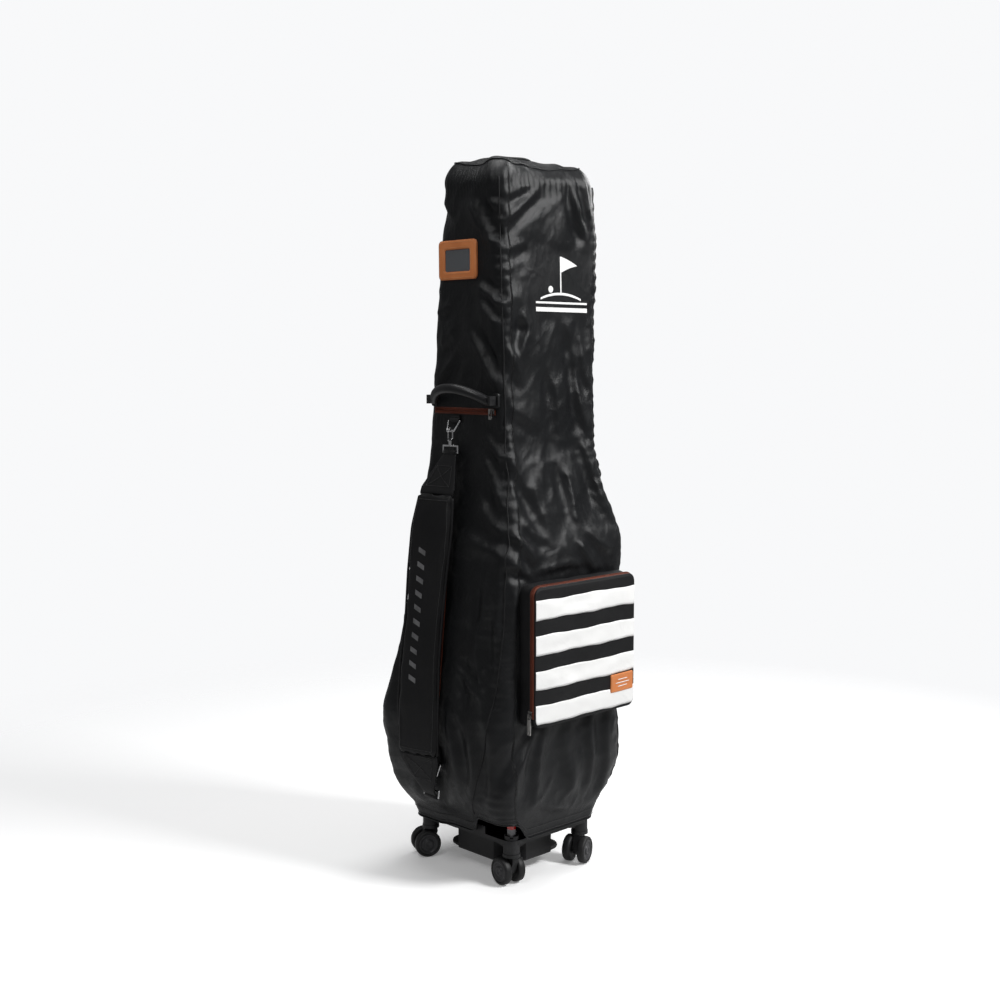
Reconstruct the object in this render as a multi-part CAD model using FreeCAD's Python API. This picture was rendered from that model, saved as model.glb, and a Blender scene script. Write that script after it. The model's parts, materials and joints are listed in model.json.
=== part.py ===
import FreeCAD, Part
import math
import os

# Golf travel case: a nylon cover standing on a moulded base with four swivel casters.
# Millimetres, +Z up. X runs along the pocket face, -Y is the pocket face, -X the strap face.
# The base is drawn about its own centre, then everything moves by SHIFT_X, SHIFT_Y.

V = FreeCAD.Vector
UP = V(0, 0, 1)

SHIFT_X = 12.0
SHIFT_Y = 15.0

# Cover: height, left x, right x, front y, rear y, corner radius, front-left seam drift
LEVELS = (
    (85, -109, 109, -129, 129, 24, 0),
    (120, -120, 117, -135, 138, 28, 4),
    (150, -138, 130, -142, 148, 32, 8),
    (200, -156, 157, -150, 158, 36, 16),
    (300, -161, 163, -151, 158, 38, 20),
    (420, -150, 165, -152, 135, 36, 14),
    (618, -132, 177, -147, 115.2, 32, 0),
    (700, -116, 143, -129, 107, 28, 0),
    (784, -106, 131, -113, 98.6, 24, 0),
    (960, -107.5, 134, -107, 81, 24, 0),
    (1140, -110, 141, -102, 63, 24, 0),
    (1250, -113, 127, -101, 52, 24, 0),
)
CROWN = ((1250, 0), (1274, 9), (1288, 28))
WALL = 2.5
BAND_TOP = 1312.0

# Rear opening
ZIP_X = -67.0
FLAP_LOW = 165.0
FLAP_HIGH = 1235.0
FLAP_GAP = 0.6
REAR_SLOPE = math.atan2(135 - 52, 1250 - 420)

# Base
RIM_X = 106.0
RIM_Y = 126.0
RIM_LOW = 76.0
RIM_HIGH = 98.0
TRAY_X = 75.0
TRAY_Y = 90.0
TRAY_CUT = 42.0
TRAY_LOW = 22.0
TRAY_WALL = 3.0

# Casters
CASTER_X = 89.5
CASTER_Y = 110.0
WHEEL_R = 25.0
WHEEL_W = 15.0
FORK_HALF = 6.0
TRAIL = 10.0
BOSS_LOW = 58.5
AXLE_R = 3.0
STEM_R = 4.0
RUNNING = 0.05
CASTERS = (
    ("fl", -1, -1, -7.9),
    ("fr", 1, -1, 110.2),
    ("rl", -1, 1, 64.3),
    ("rr", 1, 1, 200.0),
)

# Front pocket
POCKET = (-105.0, 152.0, -182.0, 303.0, 548.0)
POCKET_R = 14.0
POCKET_WALL = 2.5

# Strap, held on two rings: hinge line through both ring wires
RING_TOP = V(-120, 16, 812)
RING_LOW = V(-164, 16, 190)
# height, centre x, centre y, width, turn about Z in degrees
PAD = (
    (700, -145.0, 26, 82, 6),
    (640, -155.0, 27, 94, 10),
    (560, -165.5, 28, 88, 13),
    (480, -172.5, 30, 82, 14),
    (400, -179.5, 34, 86, 14),
    (320, -186.0, 32, 90, 14),
    (230, -185.0, 33, 88, 12),
)
PAD_THICK = 11.0

# Handle on the left face
GRIP_Z = 868.0
GRIP_X = -118.5
GRIP_Y = (-85.0, 68.0)
GRIP_R = 8.5
GRIP_RISE = 34.0
GRIP_TILT = 38.0

# Zips on the left face
SLOT_Z = 849.0
SIDE_Y = 12.0
SIDE_SLOPE = math.atan2(18, 198)


def block(x0, x1, y0, y1, z0, z1):
    """Box between limits."""
    return Part.makeBox(x1 - x0, y1 - y0, z1 - z0, V(x0, y0, z0))


def rod(radius, start, end):
    """Cylinder from one point to another."""
    run = end.sub(start)
    return Part.makeCylinder(radius, run.Length, start, run)


def join(shapes):
    """One solid from touching solids."""
    whole = shapes[0].multiFuse(shapes[1:])
    return whole.removeSplitter()


def group(shapes):
    """Separate solids kept in one node."""
    return Part.makeCompound(shapes)


def rounded(z, x0, x1, y0, y1, r):
    """Wire of a rounded rectangle at height z."""
    k = r * (1 - math.sqrt(0.5))
    corners = (
        (V(x1 - r, y0, z), V(x1 - k, y0 + k, z), V(x1, y0 + r, z)),
        (V(x1, y1 - r, z), V(x1 - k, y1 - k, z), V(x1 - r, y1, z)),
        (V(x0 + r, y1, z), V(x0 + k, y1 - k, z), V(x0, y1 - r, z)),
        (V(x0, y0 + r, z), V(x0 + k, y0 + k, z), V(x0 + r, y0, z)),
    )
    edges = []
    for i, (a, m, b) in enumerate(corners):
        edges.append(Part.Arc(a, m, b).toShape())
        edges.append(Part.makeLine(b, corners[(i + 1) % 4][0]))
    return Part.Wire(edges)


def slab(z0, z1, x0, x1, y0, y1, r):
    """Upright block with rounded vertical edges."""
    face = Part.Face(rounded(z0, x0, x1, y0, y1, r))
    return face.extrude(V(0, 0, z1 - z0))


def plate_xz(y0, y1, x0, x1, z0, z1, r):
    """Block with rounded corners in the XZ plane."""
    flat = slab(0, y1 - y0, x0, x1, z0, z1, r)
    flat.rotate(V(0, 0, 0), V(1, 0, 0), 90)
    flat.translate(V(0, y1, 0))
    return flat


def side_plate(x0, x1, y0, y1, z0, z1, r):
    """Block with rounded corners in the YZ plane."""
    flat = slab(0, x1 - x0, y0, y1, z0, z1, r)
    flat.rotate(V(0, 0, 0), V(1, 1, 1), 120)
    flat.translate(V(x0, 0, 0))
    return flat


def level_wires(inset):
    """Cover sections, moved inwards by inset."""
    wires = []
    for z, x0, x1, y0, y1, r, _ in LEVELS:
        wires.append(rounded(z, x0 + inset, x1 - inset, y0 + inset, y1 - inset, r - inset))
    return wires


def crown_wires(inset):
    """Sections of the domed top, moved inwards by inset."""
    _, x0, x1, y0, y1, r, _ = LEVELS[-1]
    wires = []
    for z, step in CROWN:
        s = step + inset
        wires.append(rounded(z, x0 + s, x1 - s, y0 + s, y1 - s, r - inset))
    return wires


BODY = Part.makeLoft(level_wires(0), True, True)
HOLLOW = Part.makeLoft(level_wires(WALL), True, True)
TUBE = BODY.cut(HOLLOW)
CROWN_BODY = Part.makeLoft(crown_wires(0), True, True)


def wedge(corners):
    """Upright region whose plan follows the corners given for each cover level."""
    wires = []
    last = len(LEVELS) - 1
    for i, level in enumerate(LEVELS):
        z = level[0] - (1 if i == 0 else 0) + (1 if i == last else 0)
        pts = [V(x, y, z) for x, y in corners(level)]
        wires.append(Part.makePolygon(pts + pts[:1]))
    return Part.makeLoft(wires, True, True)


def beyond(cx, cy, x, y, k=1.6):
    """Point on the line from c through (x, y), past it."""
    return (cx + (x - cx) * k, cy + (y - cy) * k)


INNER = 70.0


def front_left(level, cx):
    """Outer end of the front-left seam plane."""
    _, x0, _, y0, _, _, drift = level
    return beyond(cx, 0, x0, y0 + drift)


def front_region(level):
    _, x0, x1, y0, _, _, _ = level
    return ((INNER, 0), (-INNER, 0), front_left(level, -INNER), beyond(INNER, 0, x1, y0))


def left_region(level):
    return ((ZIP_X, 0), (-INNER, 0), front_left(level, -INNER), (-420, -200), (-420, 300), (ZIP_X, 300))


def right_region(level):
    _, _, x1, y0, y1, _, _ = level
    return ((INNER, 0), beyond(INNER, 0, x1, y0), (420, -150), (420, 200), beyond(INNER, 0, x1, y1))


def rear_region(level):
    _, _, x1, _, y1, _, _ = level
    return ((INNER, 0), beyond(INNER, 0, x1, y1), (ZIP_X, 300), (ZIP_X, 0))


def flap_region(level):
    _, _, x1, _, y1, _, _ = level
    left = ZIP_X + FLAP_GAP
    return ((INNER - 1.2, 0), beyond(INNER - 1.2, 0, x1 - 1.2, y1), (left, 300), (left, 0))


def snap_places():
    """Hem snap centres on the cover surface and the way each one points."""
    hem_y = RIM_Y + WALL + 0.5
    hem_x = RIM_X + WALL + 0.5
    turn = math.sqrt(0.5)
    corner = (RIM_X - 24) + (24 + WALL + 0.5) * turn
    corner_y = (RIM_Y - 24) + (24 + WALL + 0.5) * turn
    places = [(x, -hem_y, 0, -1) for x in (-24, 42)]
    places.append((corner, -corner_y, turn, -turn))
    places += [(x, hem_y, 0, 1) for x in (-60, 0, 60)]
    places += [(hem_x, y, 1, 0) for y in (-30, 50)]
    return places


def hem_snaps():
    """Domed caps with shanks that pass through cover and rim."""
    caps = []
    z = 91.0
    for x, y, dx, dy in snap_places():
        out = V(dx, dy, 0)
        at = V(x, y, z).sub(out * 0.4)
        cap = Part.makeCylinder(5.2, 1.6, at, out)
        dome = Part.makeCylinder(3.6, 0.8, at.add(out * 1.6), out)
        shank = Part.makeCylinder(1.5, 7.2, at.sub(out * 7.2), out)
        caps.append(join([cap, dome, shank]))
    return group(caps)


def cover_panels(snaps):
    """Fixed panels of the cover."""
    notch = block(-140, -58, -160, -52, 80, 118)
    lower = TUBE.cut(notch).cut(snaps)
    front = lower.common(wedge(front_region))
    left = lower.common(wedge(left_region))
    right = lower.common(wedge(right_region))
    rear = lower.common(wedge(rear_region))
    window = block(-400, 400, 0, 400, FLAP_LOW - FLAP_GAP, FLAP_HIGH + FLAP_GAP)
    border = rear.cut(window)
    return front, left, right, border


def rear_flap():
    """Opening panel at the back."""
    panel = TUBE.common(wedge(flap_region))
    return panel.common(block(-400, 400, 0, 400, FLAP_LOW, FLAP_HIGH))


def top_panel():
    """Domed top of the cover."""
    inner = []
    _, x0, x1, y0, y1, r, _ = LEVELS[-1]
    for z, step in CROWN:
        s = step + WALL
        low = 0 if step == 0 else WALL
        inner.append(rounded(z - low, x0 + s, x1 - s, y0 + s, y1 - s, r - WALL))
    return CROWN_BODY.cut(Part.makeLoft(inner, True, True))


def top_band():
    """Stiff bound edge standing on the rear of the top."""
    strip = plate_xz(36, 40, -6, 112, 1240, BAND_TOP, 6)
    return strip.cut(CROWN_BODY).cut(BODY)


def tray_outline(grow, z0, z1):
    """Block with cut corners, grown or shrunk evenly."""
    x = TRAY_X + grow
    y = TRAY_Y + grow
    c = TRAY_CUT + grow * (2 - math.sqrt(2))
    pts = [
        V(-x + c, -y, z0), V(x - c, -y, z0), V(x, -y + c, z0), V(x, y - c, z0),
        V(x - c, y, z0), V(-x + c, y, z0), V(-x, y - c, z0), V(-x, -y + c, z0),
    ]
    return Part.Face(Part.makePolygon(pts + pts[:1])).extrude(V(0, 0, z1 - z0))


def base_screws():
    """Four pan-head screws between tray and frame."""
    screws = []
    for sx in (-1, 1):
        for sy in (-1, 1):
            head = Part.makeCylinder(4, 2.4, V(sx * 80, sy * 28, RIM_LOW - 5.4))
            shank = Part.makeCylinder(1.9, 8.0, V(sx * 80, sy * 28, RIM_LOW - 3.0))
            screws.append(join([head, shank]))
    return group(screws)


def base_tray(screws):
    """Deep tub that carries the load, with a flange under the frame."""
    tub = tray_outline(0, TRAY_LOW, RIM_LOW)
    edges = [e for e in tub.Edges if e.BoundBox.ZMax < TRAY_LOW + 0.01]
    tub = tub.makeFillet(5.0, edges)
    flange = tray_outline(9, RIM_LOW - 3, RIM_LOW)
    cavity = tray_outline(-TRAY_WALL, TRAY_LOW + TRAY_WALL, RIM_LOW + 1)
    return join([tub, flange]).cut(cavity).cut(screws)


def floor_pad():
    """Foam sheet on the tray floor."""
    return tray_outline(-TRAY_WALL - 0.5, TRAY_LOW + TRAY_WALL, TRAY_LOW + TRAY_WALL + 6)


def corner_block(sx, sy):
    """Caster boss with two arms that reach the rim."""
    cx = sx * CASTER_X
    cy = sy * CASTER_Y
    boss = Part.makeCylinder(15, 84 - BOSS_LOW, V(cx, cy, BOSS_LOW))
    arms = []
    for dx, dy, length in ((-sx, 0, 62), (0, -sy, 62)):
        side = V(-dy, dx, 0) * 5
        root = V(cx, cy, 0)
        tip = root.add(V(dx, dy, 0) * length)
        pts = [
            V(root.x, root.y, 62), V(tip.x, tip.y, 77),
            V(tip.x, tip.y, 80), V(root.x, root.y, 80),
        ]
        pts = [p.sub(side) for p in pts]
        arms.append(Part.Face(Part.makePolygon(pts + pts[:1])).extrude(side * 2))
    return join([boss] + arms)


def base_frame(screws, snaps):
    """Rim, deck ring and four caster corners in one moulding."""
    wall = slab(RIM_LOW, RIM_HIGH, -RIM_X, RIM_X, -RIM_Y, RIM_Y, 24)
    wall = wall.cut(slab(RIM_LOW + 4, RIM_HIGH + 1, 3 - RIM_X, RIM_X - 3, 3 - RIM_Y, RIM_Y - 3, 21))
    solid = [wall]
    for _, sx, sy, _ in CASTERS:
        solid.append(corner_block(sx, sy))
    frame = join(solid)
    frame = frame.cut(tray_outline(-TRAY_WALL, RIM_LOW - 20, RIM_HIGH))
    # open corner over the front-left caster, with the guard ring for the push knob
    cx, cy = -CASTER_X, -CASTER_Y
    frame = frame.cut(block(-RIM_X - 5, -62, -RIM_Y - 5, -58, 84, RIM_HIGH + 1))
    ring = Part.makeCylinder(13.5, 8, V(cx, cy, 84))
    for turn in (0, 90):
        bar = block(-14, 14, -3, 3, 88, 93)
        bar.rotate(V(0, 0, 0), UP, turn + 45)
        bar.translate(V(cx, cy, 0))
        ring = ring.cut(bar)
    frame = join([frame, ring])
    frame = frame.cut(Part.makeCylinder(8.3, 30, V(cx, cy, 72)))
    for _, sx, sy, _ in CASTERS:
        foot = V(sx * CASTER_X, sy * CASTER_Y, BOSS_LOW)
        frame = frame.cut(Part.makeCylinder(STEM_R + RUNNING, 11.5, foot))
    return frame.cut(screws).cut(snaps)


def lock_parts():
    """Push knob over the front-left caster: red cap, grey stem and return spring."""
    x, y = -CASTER_X, -CASTER_Y
    stem = join([
        Part.makeCylinder(8.0, 23, V(x, y, 80)),
        Part.makeCylinder(2.6, 4, V(x, y, 76.5)),
    ])
    cap = Part.makeCylinder(8.4, 5.5, V(x, y, 103.2))
    ball = Part.makeSphere(14, V(x, y, 98.6))
    dome = ball.common(Part.makeCylinder(8.4, 6, V(x, y, 108.7)))
    cap = join([cap, dome])
    peg = Part.makeCylinder(3, 3.2, V(x, y, 102))
    stem = stem.cut(peg)
    cap = join([cap, peg])
    coil = Part.makeHelix(2.2, 6.6, 5.5)
    profile = Part.Wire([Part.makeCircle(0.5, V(5.5, 0, 0), V(0, 1, 0))])
    spring = Part.Wire(coil).makePipeShell([profile], True, False)
    spring.translate(V(x, y, 72.6))
    return stem, cap, spring


def wheel(side):
    """One wheel half: hub and tyre moulded together, turned about X."""
    w0 = FORK_HALF + 1.2
    w1 = w0 + WHEEL_W
    r = WHEEL_R
    pts = [
        V(w0, 0, AXLE_R + RUNNING), V(w0, 0, r - 2), V(w0 + 2, 0, r), V(w1 - 3, 0, r),
        V(w1, 0, r - 3), V(w1, 0, 16.5), V(w1 - 3.5, 0, 15.5), V(w1 - 3.5, 0, 8),
        V(w1 - 1.0, 0, 7), V(w1 - 1.0, 0, 0), V(w1 - 3.0, 0, 0), V(w1 - 3.0, 0, AXLE_R + RUNNING),
    ]
    face = Part.Face(Part.makePolygon(pts + pts[:1]))
    solid = face.revolve(V(0, 0, 0), V(1, 0, 0), 360)
    if side < 0:
        solid = solid.mirror(V(0, 0, 0), V(1, 0, 0))
    solid.translate(V(0, TRAIL, WHEEL_R))
    return solid


def caster():
    """Fork, pins and two wheels about a swivel axis at the origin."""
    half = FORK_HALF
    end = WHEEL_W + half + 1.2 - 3.2
    disc = Part.makeCylinder(16, 5.7, V(0, 0, 52.5))
    pts = [
        V(-half, -11, 54), V(-half, -12, 44), V(-half, -4, 22), V(-half, TRAIL - 4, 16),
        V(-half, TRAIL + 5, 16), V(-half, TRAIL + 10, 24), V(-half, 14, 54),
    ]
    web = Part.Face(Part.makePolygon(pts + pts[:1])).extrude(V(2 * half, 0, 0))
    axle = rod(AXLE_R, V(-end, TRAIL, WHEEL_R), V(end, TRAIL, WHEEL_R))
    stem = rod(STEM_R, V(0, 0, 44), V(0, 0, 69.5))
    fork = join([disc, web]).cut(axle).cut(stem)
    return fork, group([axle, stem]), wheel(1), wheel(-1)


def place_caster(shape, sx, sy, turn):
    """Copy turned about its swivel axis and set on its corner."""
    copy = shape.copy()
    copy.rotate(V(0, 0, 0), UP, turn)
    copy.translate(V(sx * CASTER_X, sy * CASTER_Y, 0))
    return copy


def pocket_parts():
    """Gusset box, hinged front panel with its stripes, label and zip."""
    x0, x1, y0, z0, z1 = POCKET
    t = POCKET_WALL
    outer = plate_xz(y0, -118, x0, x1, z0, z1, POCKET_R)
    inner = plate_xz(y0 - 5, -60, x0 + t, x1 - t, z0 + t, z1 - t, POCKET_R - t)
    gusset = outer.cut(inner).cut(BODY)
    panel = plate_xz(y0 - 3.3, y0 - 0.3, x0, x1, z0, z1, POCKET_R)
    face = y0 - 3.3
    stripes = []
    pitch = 61.7
    for i in range(4):
        low = z0 + 4.5 + i * pitch
        stripe = block(x0, x1, face - 1.5, face, low, low + 34.0)
        stripes.append(stripe.common(plate_xz(face - 5, face, x0, x1, z0, z1, POCKET_R)))
    label = block(x1 - 66, x1 - 4, face - 3.0, face - 1.5, 334.5, 367.5)
    spacer = block(x1 - 66, x1 - 4, face - 1.5, face, 342.5, 365)
    label = join([label, spacer])
    for s in stripes:
        label = label.cut(s)
    tape_out = plate_xz(y0 + 2, y0 + 13, x0 - 1.2, x1 + 1.2, z0 + 12, z1 + 1.2, POCKET_R + 1.2)
    tape = tape_out.cut(plate_xz(y0 - 5, y0 + 20, x0, x1, z0 - 20, z1, POCKET_R))
    tape = tape.common(block(x0 - 5, x1 + 5, y0, y0 + 20, z0 + 16, z1 + 5))
    return gusset, panel, group(stripes), label, tape


def slider_body(out_x, out_y, at, along, turn=0):
    """Zip slider: low block with a bridge that holds the pull. at is the face centre."""
    body = block(-6.5, 6.5, -4.5, 4.5, 0.3, 2.8)
    bridge = block(-3.8, 3.8, -1.2, 1.2, 2.8, 6.2)
    bridge = bridge.cut(block(-2.2, 2.2, -3, 3, 2.8, 5.1))
    bridge.rotate(V(0, 0, 0), UP, turn)
    solid = join([body, bridge])
    return orient(solid, out_x, out_y, at, along)


def orient(shape, out_x, out_y, at, along):
    """Turn a zip piece so local Z points out of the face and local X runs along the tape."""
    z_axis = V(out_x, out_y, 0)
    x_axis = V(along).normalize()
    z_axis = z_axis.sub(x_axis * z_axis.dot(x_axis)).normalize()
    y_axis = z_axis.cross(x_axis)
    m = FreeCAD.Matrix(
        x_axis.x, y_axis.x, z_axis.x, at.x,
        x_axis.y, y_axis.y, z_axis.y, at.y,
        x_axis.z, y_axis.z, z_axis.z, at.z,
        0, 0, 0, 1,
    )
    return shape.transformed(m, copy=True)


def pull_tab(length):
    """Hanging pull: top bar through the bridge, two cheeks and a rounded tab, along local -X."""
    top = rod(0.8, V(0, -3.0, 4.1), V(0, 3.0, 4.1))
    cheeks = [block(-9, 0.8, s * 3.0 - 0.9, s * 3.0 + 0.9, 3.3, 4.9) for s in (-1, 1)]
    tab = slab(3.3, 4.9, -length, -8, -3.9, 3.9, 2.0)
    hole = Part.makeCylinder(1.4, 4, V(4 - length, 0, 2))
    return join([top] + cheeks + [tab]).cut(hole)


def left_x(z):
    """Cover's left face at height z."""
    for low, high in zip(LEVELS, LEVELS[1:]):
        if low[0] <= z <= high[0]:
            f = (z - low[0]) / (high[0] - low[0])
            return low[1] + f * (high[1] - low[1])
    return LEVELS[-1][1]


def rear_y(z):
    """Cover's rear face at height z, on its straight part."""
    return 135 - math.tan(REAR_SLOPE) * (z - 420)


def handle_parts():
    """Arched grip with stub axles, and the two riveted end plates."""
    y0, y1 = GRIP_Y
    mid = (y0 + y1) / 2
    a = math.radians(GRIP_TILT)
    out = V(-math.cos(a), 0, math.sin(a))
    pivot = V(GRIP_X, 0, GRIP_Z)
    first = pivot.add(V(0, y0 + 9, 0))
    last = pivot.add(V(0, y1 - 9, 0))
    crest = pivot.add(V(0, mid, 0)).add(out * GRIP_RISE)
    arc = Part.Arc(first, crest, last)
    start = arc.value(arc.FirstParameter)
    tangent = arc.tangent(arc.FirstParameter)[0]
    ring = Part.Wire([Part.makeCircle(GRIP_R, start, tangent)])
    bow = Part.Wire([arc.toShape()]).makePipeShell([ring], True, False)
    pieces = [bow]
    for y, s in ((y0, 1), (y1, -1)):
        pieces.append(rod(GRIP_R, pivot.add(V(0, y, 0)), pivot.add(V(0, y + s * 9, 0))))
        pieces.append(Part.makeSphere(GRIP_R, pivot.add(V(0, y + s * 9, 0))))
        pieces.append(rod(3.0, pivot.add(V(0, y - s * 6.5, 0)), pivot.add(V(0, y + s, 0))))
    grip = join(pieces)
    lugs = []
    for y, s in ((y0, -1), (y1, 1)):
        low = min(y + s * 0.8, y + s * 6.8)
        ear = block(GRIP_X - 7, -80, low, low + 6, GRIP_Z - 8, GRIP_Z + 8)
        foot = side_plate(-109.4, -80, low - 4, low + 10, GRIP_Z - 13, GRIP_Z + 13, 4)
        bore = rod(3.0 + RUNNING, pivot.add(V(0, low - 1, 0)), pivot.add(V(0, low + 7, 0)))
        lugs.append(join([ear, foot]).cut(BODY).cut(bore))
    return grip, group(lugs)


def wire_ring(radius, points):
    """Closed ring of round wire with a ball at each bend."""
    pieces = []
    for i, p in enumerate(points):
        q = points[(i + 1) % len(points)]
        pieces.append(rod(radius, p, q))
        pieces.append(Part.makeSphere(radius, p))
    return join(pieces)


def snap_hook(ring, lean):
    """Swivel snap hook hanging from a ring wire that runs along Y.

    The hook lies in the XZ plane; its webbing loop is below, its gate on the outer side.
    """
    r = 1.6
    w = 5.4
    top = [V(w, 0, -16), V(w, 0, 0), V(w * 0.6, 0, 3.4), V(0, 0, 4.6), V(-w * 0.6, 0, 3.4), V(-w, 0, -1.6)]
    pieces = []
    for p, q in zip(top, top[1:]):
        pieces.append(rod(r, p, q))
        pieces.append(Part.makeSphere(r, q))
    pieces.append(rod(2.2, V(w, 0, -16), V(-w, 0, -16)))
    pieces.append(Part.makeSphere(2.2, V(w, 0, -16)))
    pieces.append(Part.makeSphere(2.2, V(-w, 0, -16)))
    pieces.append(Part.makeCylinder(3.6, 9, V(0, 0, -26)))
    loop = [V(0, -19, -26.5), V(0, 19, -26.5), V(0, 19, -38), V(0, -19, -38)]
    pieces.append(wire_ring(1.7, loop))
    hook = join(pieces)
    slot = block(-w - 3, -w + 3, -1.3, 1.3, -17.2, -10)
    gate = rod(1.1, V(-w, 0, -13.2), V(-w, 0, -3.7))
    hook = hook.cut(slot)
    for shape in (hook, gate):
        shape.rotate(V(0, 0, 0), V(0, 1, 0), lean)
        shape.translate(ring)
    return hook, gate


def d_ring(ring, bar):
    """Ring whose straight bar lies on the cover and whose bow holds the hook."""
    y = ring.y
    pts = [
        V(bar.x, y - 15, bar.z), V(bar.x, y + 15, bar.z),
        V(ring.x, y + 9, ring.z), V(ring.x, y - 9, ring.z),
    ]
    return wire_ring(1.6, pts)


def ring_mounts():
    """Two wire rings and the sewn webbing tabs that hold their bars."""
    rings = []
    tabs = []
    for ring, rise, sewn in ((RING_TOP, 18, 11), (RING_LOW, 20, 32)):
        face = left_x(ring.z + rise)
        bar = V(face - 4.2, ring.y, ring.z + rise)
        rings.append(d_ring(ring, bar))
        sleeve = rod(3.6, V(bar.x, bar.y - 11, bar.z), V(bar.x, bar.y + 11, bar.z))
        patch = side_plate(bar.x + 1.2, -80, bar.y - 14, bar.y + 14, bar.z + 1, bar.z + sewn, 2)
        hole = rod(1.7, V(bar.x, bar.y - 20, bar.z), V(bar.x, bar.y + 20, bar.z))
        tab = join([patch.cut(BODY), sleeve.cut(BODY)])
        tabs.append(tab.cut(hole))
    return group(rings), group(tabs)


def strap_section(z, cx, cy, width, thick, turn):
    """Rounded cross-section of the strap at one height."""
    wire = rounded(0, -thick / 2, thick / 2, -width / 2, width / 2, thick * 0.42)
    wire.rotate(V(0, 0, 0), UP, turn)
    wire.translate(V(cx, cy, z))
    return wire


def strap_pad():
    """Padded part of the shoulder strap."""
    wires = [strap_section(z, x, y, w, PAD_THICK, t) for z, x, y, w, t in reversed(PAD)]
    return Part.makeLoft(wires, True, True)


def strap_tabs(ring_low_lean):
    """Tapered webbing tabs between the pad ends and the hook loops."""
    a = math.radians(ring_low_lean)
    high = RING_TOP.add(V(0, 0, -38))
    low = RING_LOW.add(V(-38 * math.sin(a), 0, -38 * math.cos(a)))
    tabs = []
    z, x, y, w, t = PAD[0]
    upper = Part.makeLoft([
        strap_section(z, x, y, w - 2, PAD_THICK, t),
        strap_section(z + 12, x + 3.5, y - 1, w - 2, PAD_THICK - 2, t),
        strap_section(high.z - 1, high.x, high.y, 32, 6, 0),
    ], True, True)
    tabs.append((upper, high))
    z, x, y, w, t = PAD[-1]
    lower = Part.makeLoft([
        strap_section(low.z + 1, low.x, low.y, 32, 6, 0),
        strap_section(low.z + 12, low.x - 6.5, low.y + 1, 31, 6, 0),
        strap_section(z - 12, x + 1, y, w - 2, PAD_THICK - 2, t),
        strap_section(z, x, y, w - 2, PAD_THICK, t),
    ], True, True)
    tabs.append((lower, low))
    out = []
    for tab, bar in tabs:
        sleeve = rod(4.2, V(bar.x, bar.y - 16, bar.z), V(bar.x, bar.y + 16, bar.z))
        hole = rod(1.8, V(bar.x, bar.y - 40, bar.z), V(bar.x, bar.y + 40, bar.z))
        out.append(join([tab, sleeve]).cut(hole))
    return group(out)


def id_parts():
    """Leather tag frame and its clear window on the upper left face."""
    body = side_plate(-114, -90, -45, 54, 1080, 1149, 8)
    opening = side_plate(-130, -60, -28, 37, 1094, 1133, 4)
    frame = body.cut(opening).cut(BODY)
    window = side_plate(-112.0, -90, -27.8, 36.8, 1094.2, 1132.8, 3.8)
    return frame, window.cut(BODY)


def left_zips():
    """Tapes of the hand-slot zip and of the vertical side zip."""
    slot = side_plate(-109, -90, -88, 72, SLOT_Z - 7, SLOT_Z + 5.5, 2)
    along = V(math.sin(SIDE_SLOPE), 0, math.cos(SIDE_SLOPE))
    low = V(left_x(320), SIDE_Y, 320)
    tape = block(0, 280, -7, 7, -3, 1.6)
    side = orient(tape, -1, 0, low, along)
    return slot.cut(BODY), side.cut(BODY)


def rear_tape():
    """Zip tape beside the rear opening."""
    along = V(0, -math.sin(REAR_SLOPE), math.cos(REAR_SLOPE))
    at = V(ZIP_X - 7.6, rear_y(430), 430)
    tape = block(0, 790, -6, 6, -3, 1.6)
    return orient(tape, 0, 1, at, along).cut(BODY)


def zip_set(out_x, out_y, at, along, length):
    """Slider and pull on one tape. The pull hangs down from the bridge."""
    body = slider_body(out_x, out_y, at, along)
    pull = orient(pull_tab(length), out_x, out_y, at, along)
    return body, pull


def slot_set(face):
    """Slider on the horizontal hand-slot zip, with its pull hanging down."""
    at = V(face, -80, SLOT_Z)
    body = slider_body(-1, 0, at, V(0, -1, 0), 90)
    pull = orient(pull_tab(14), -1, 0, at, UP)
    return body, pull


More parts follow.
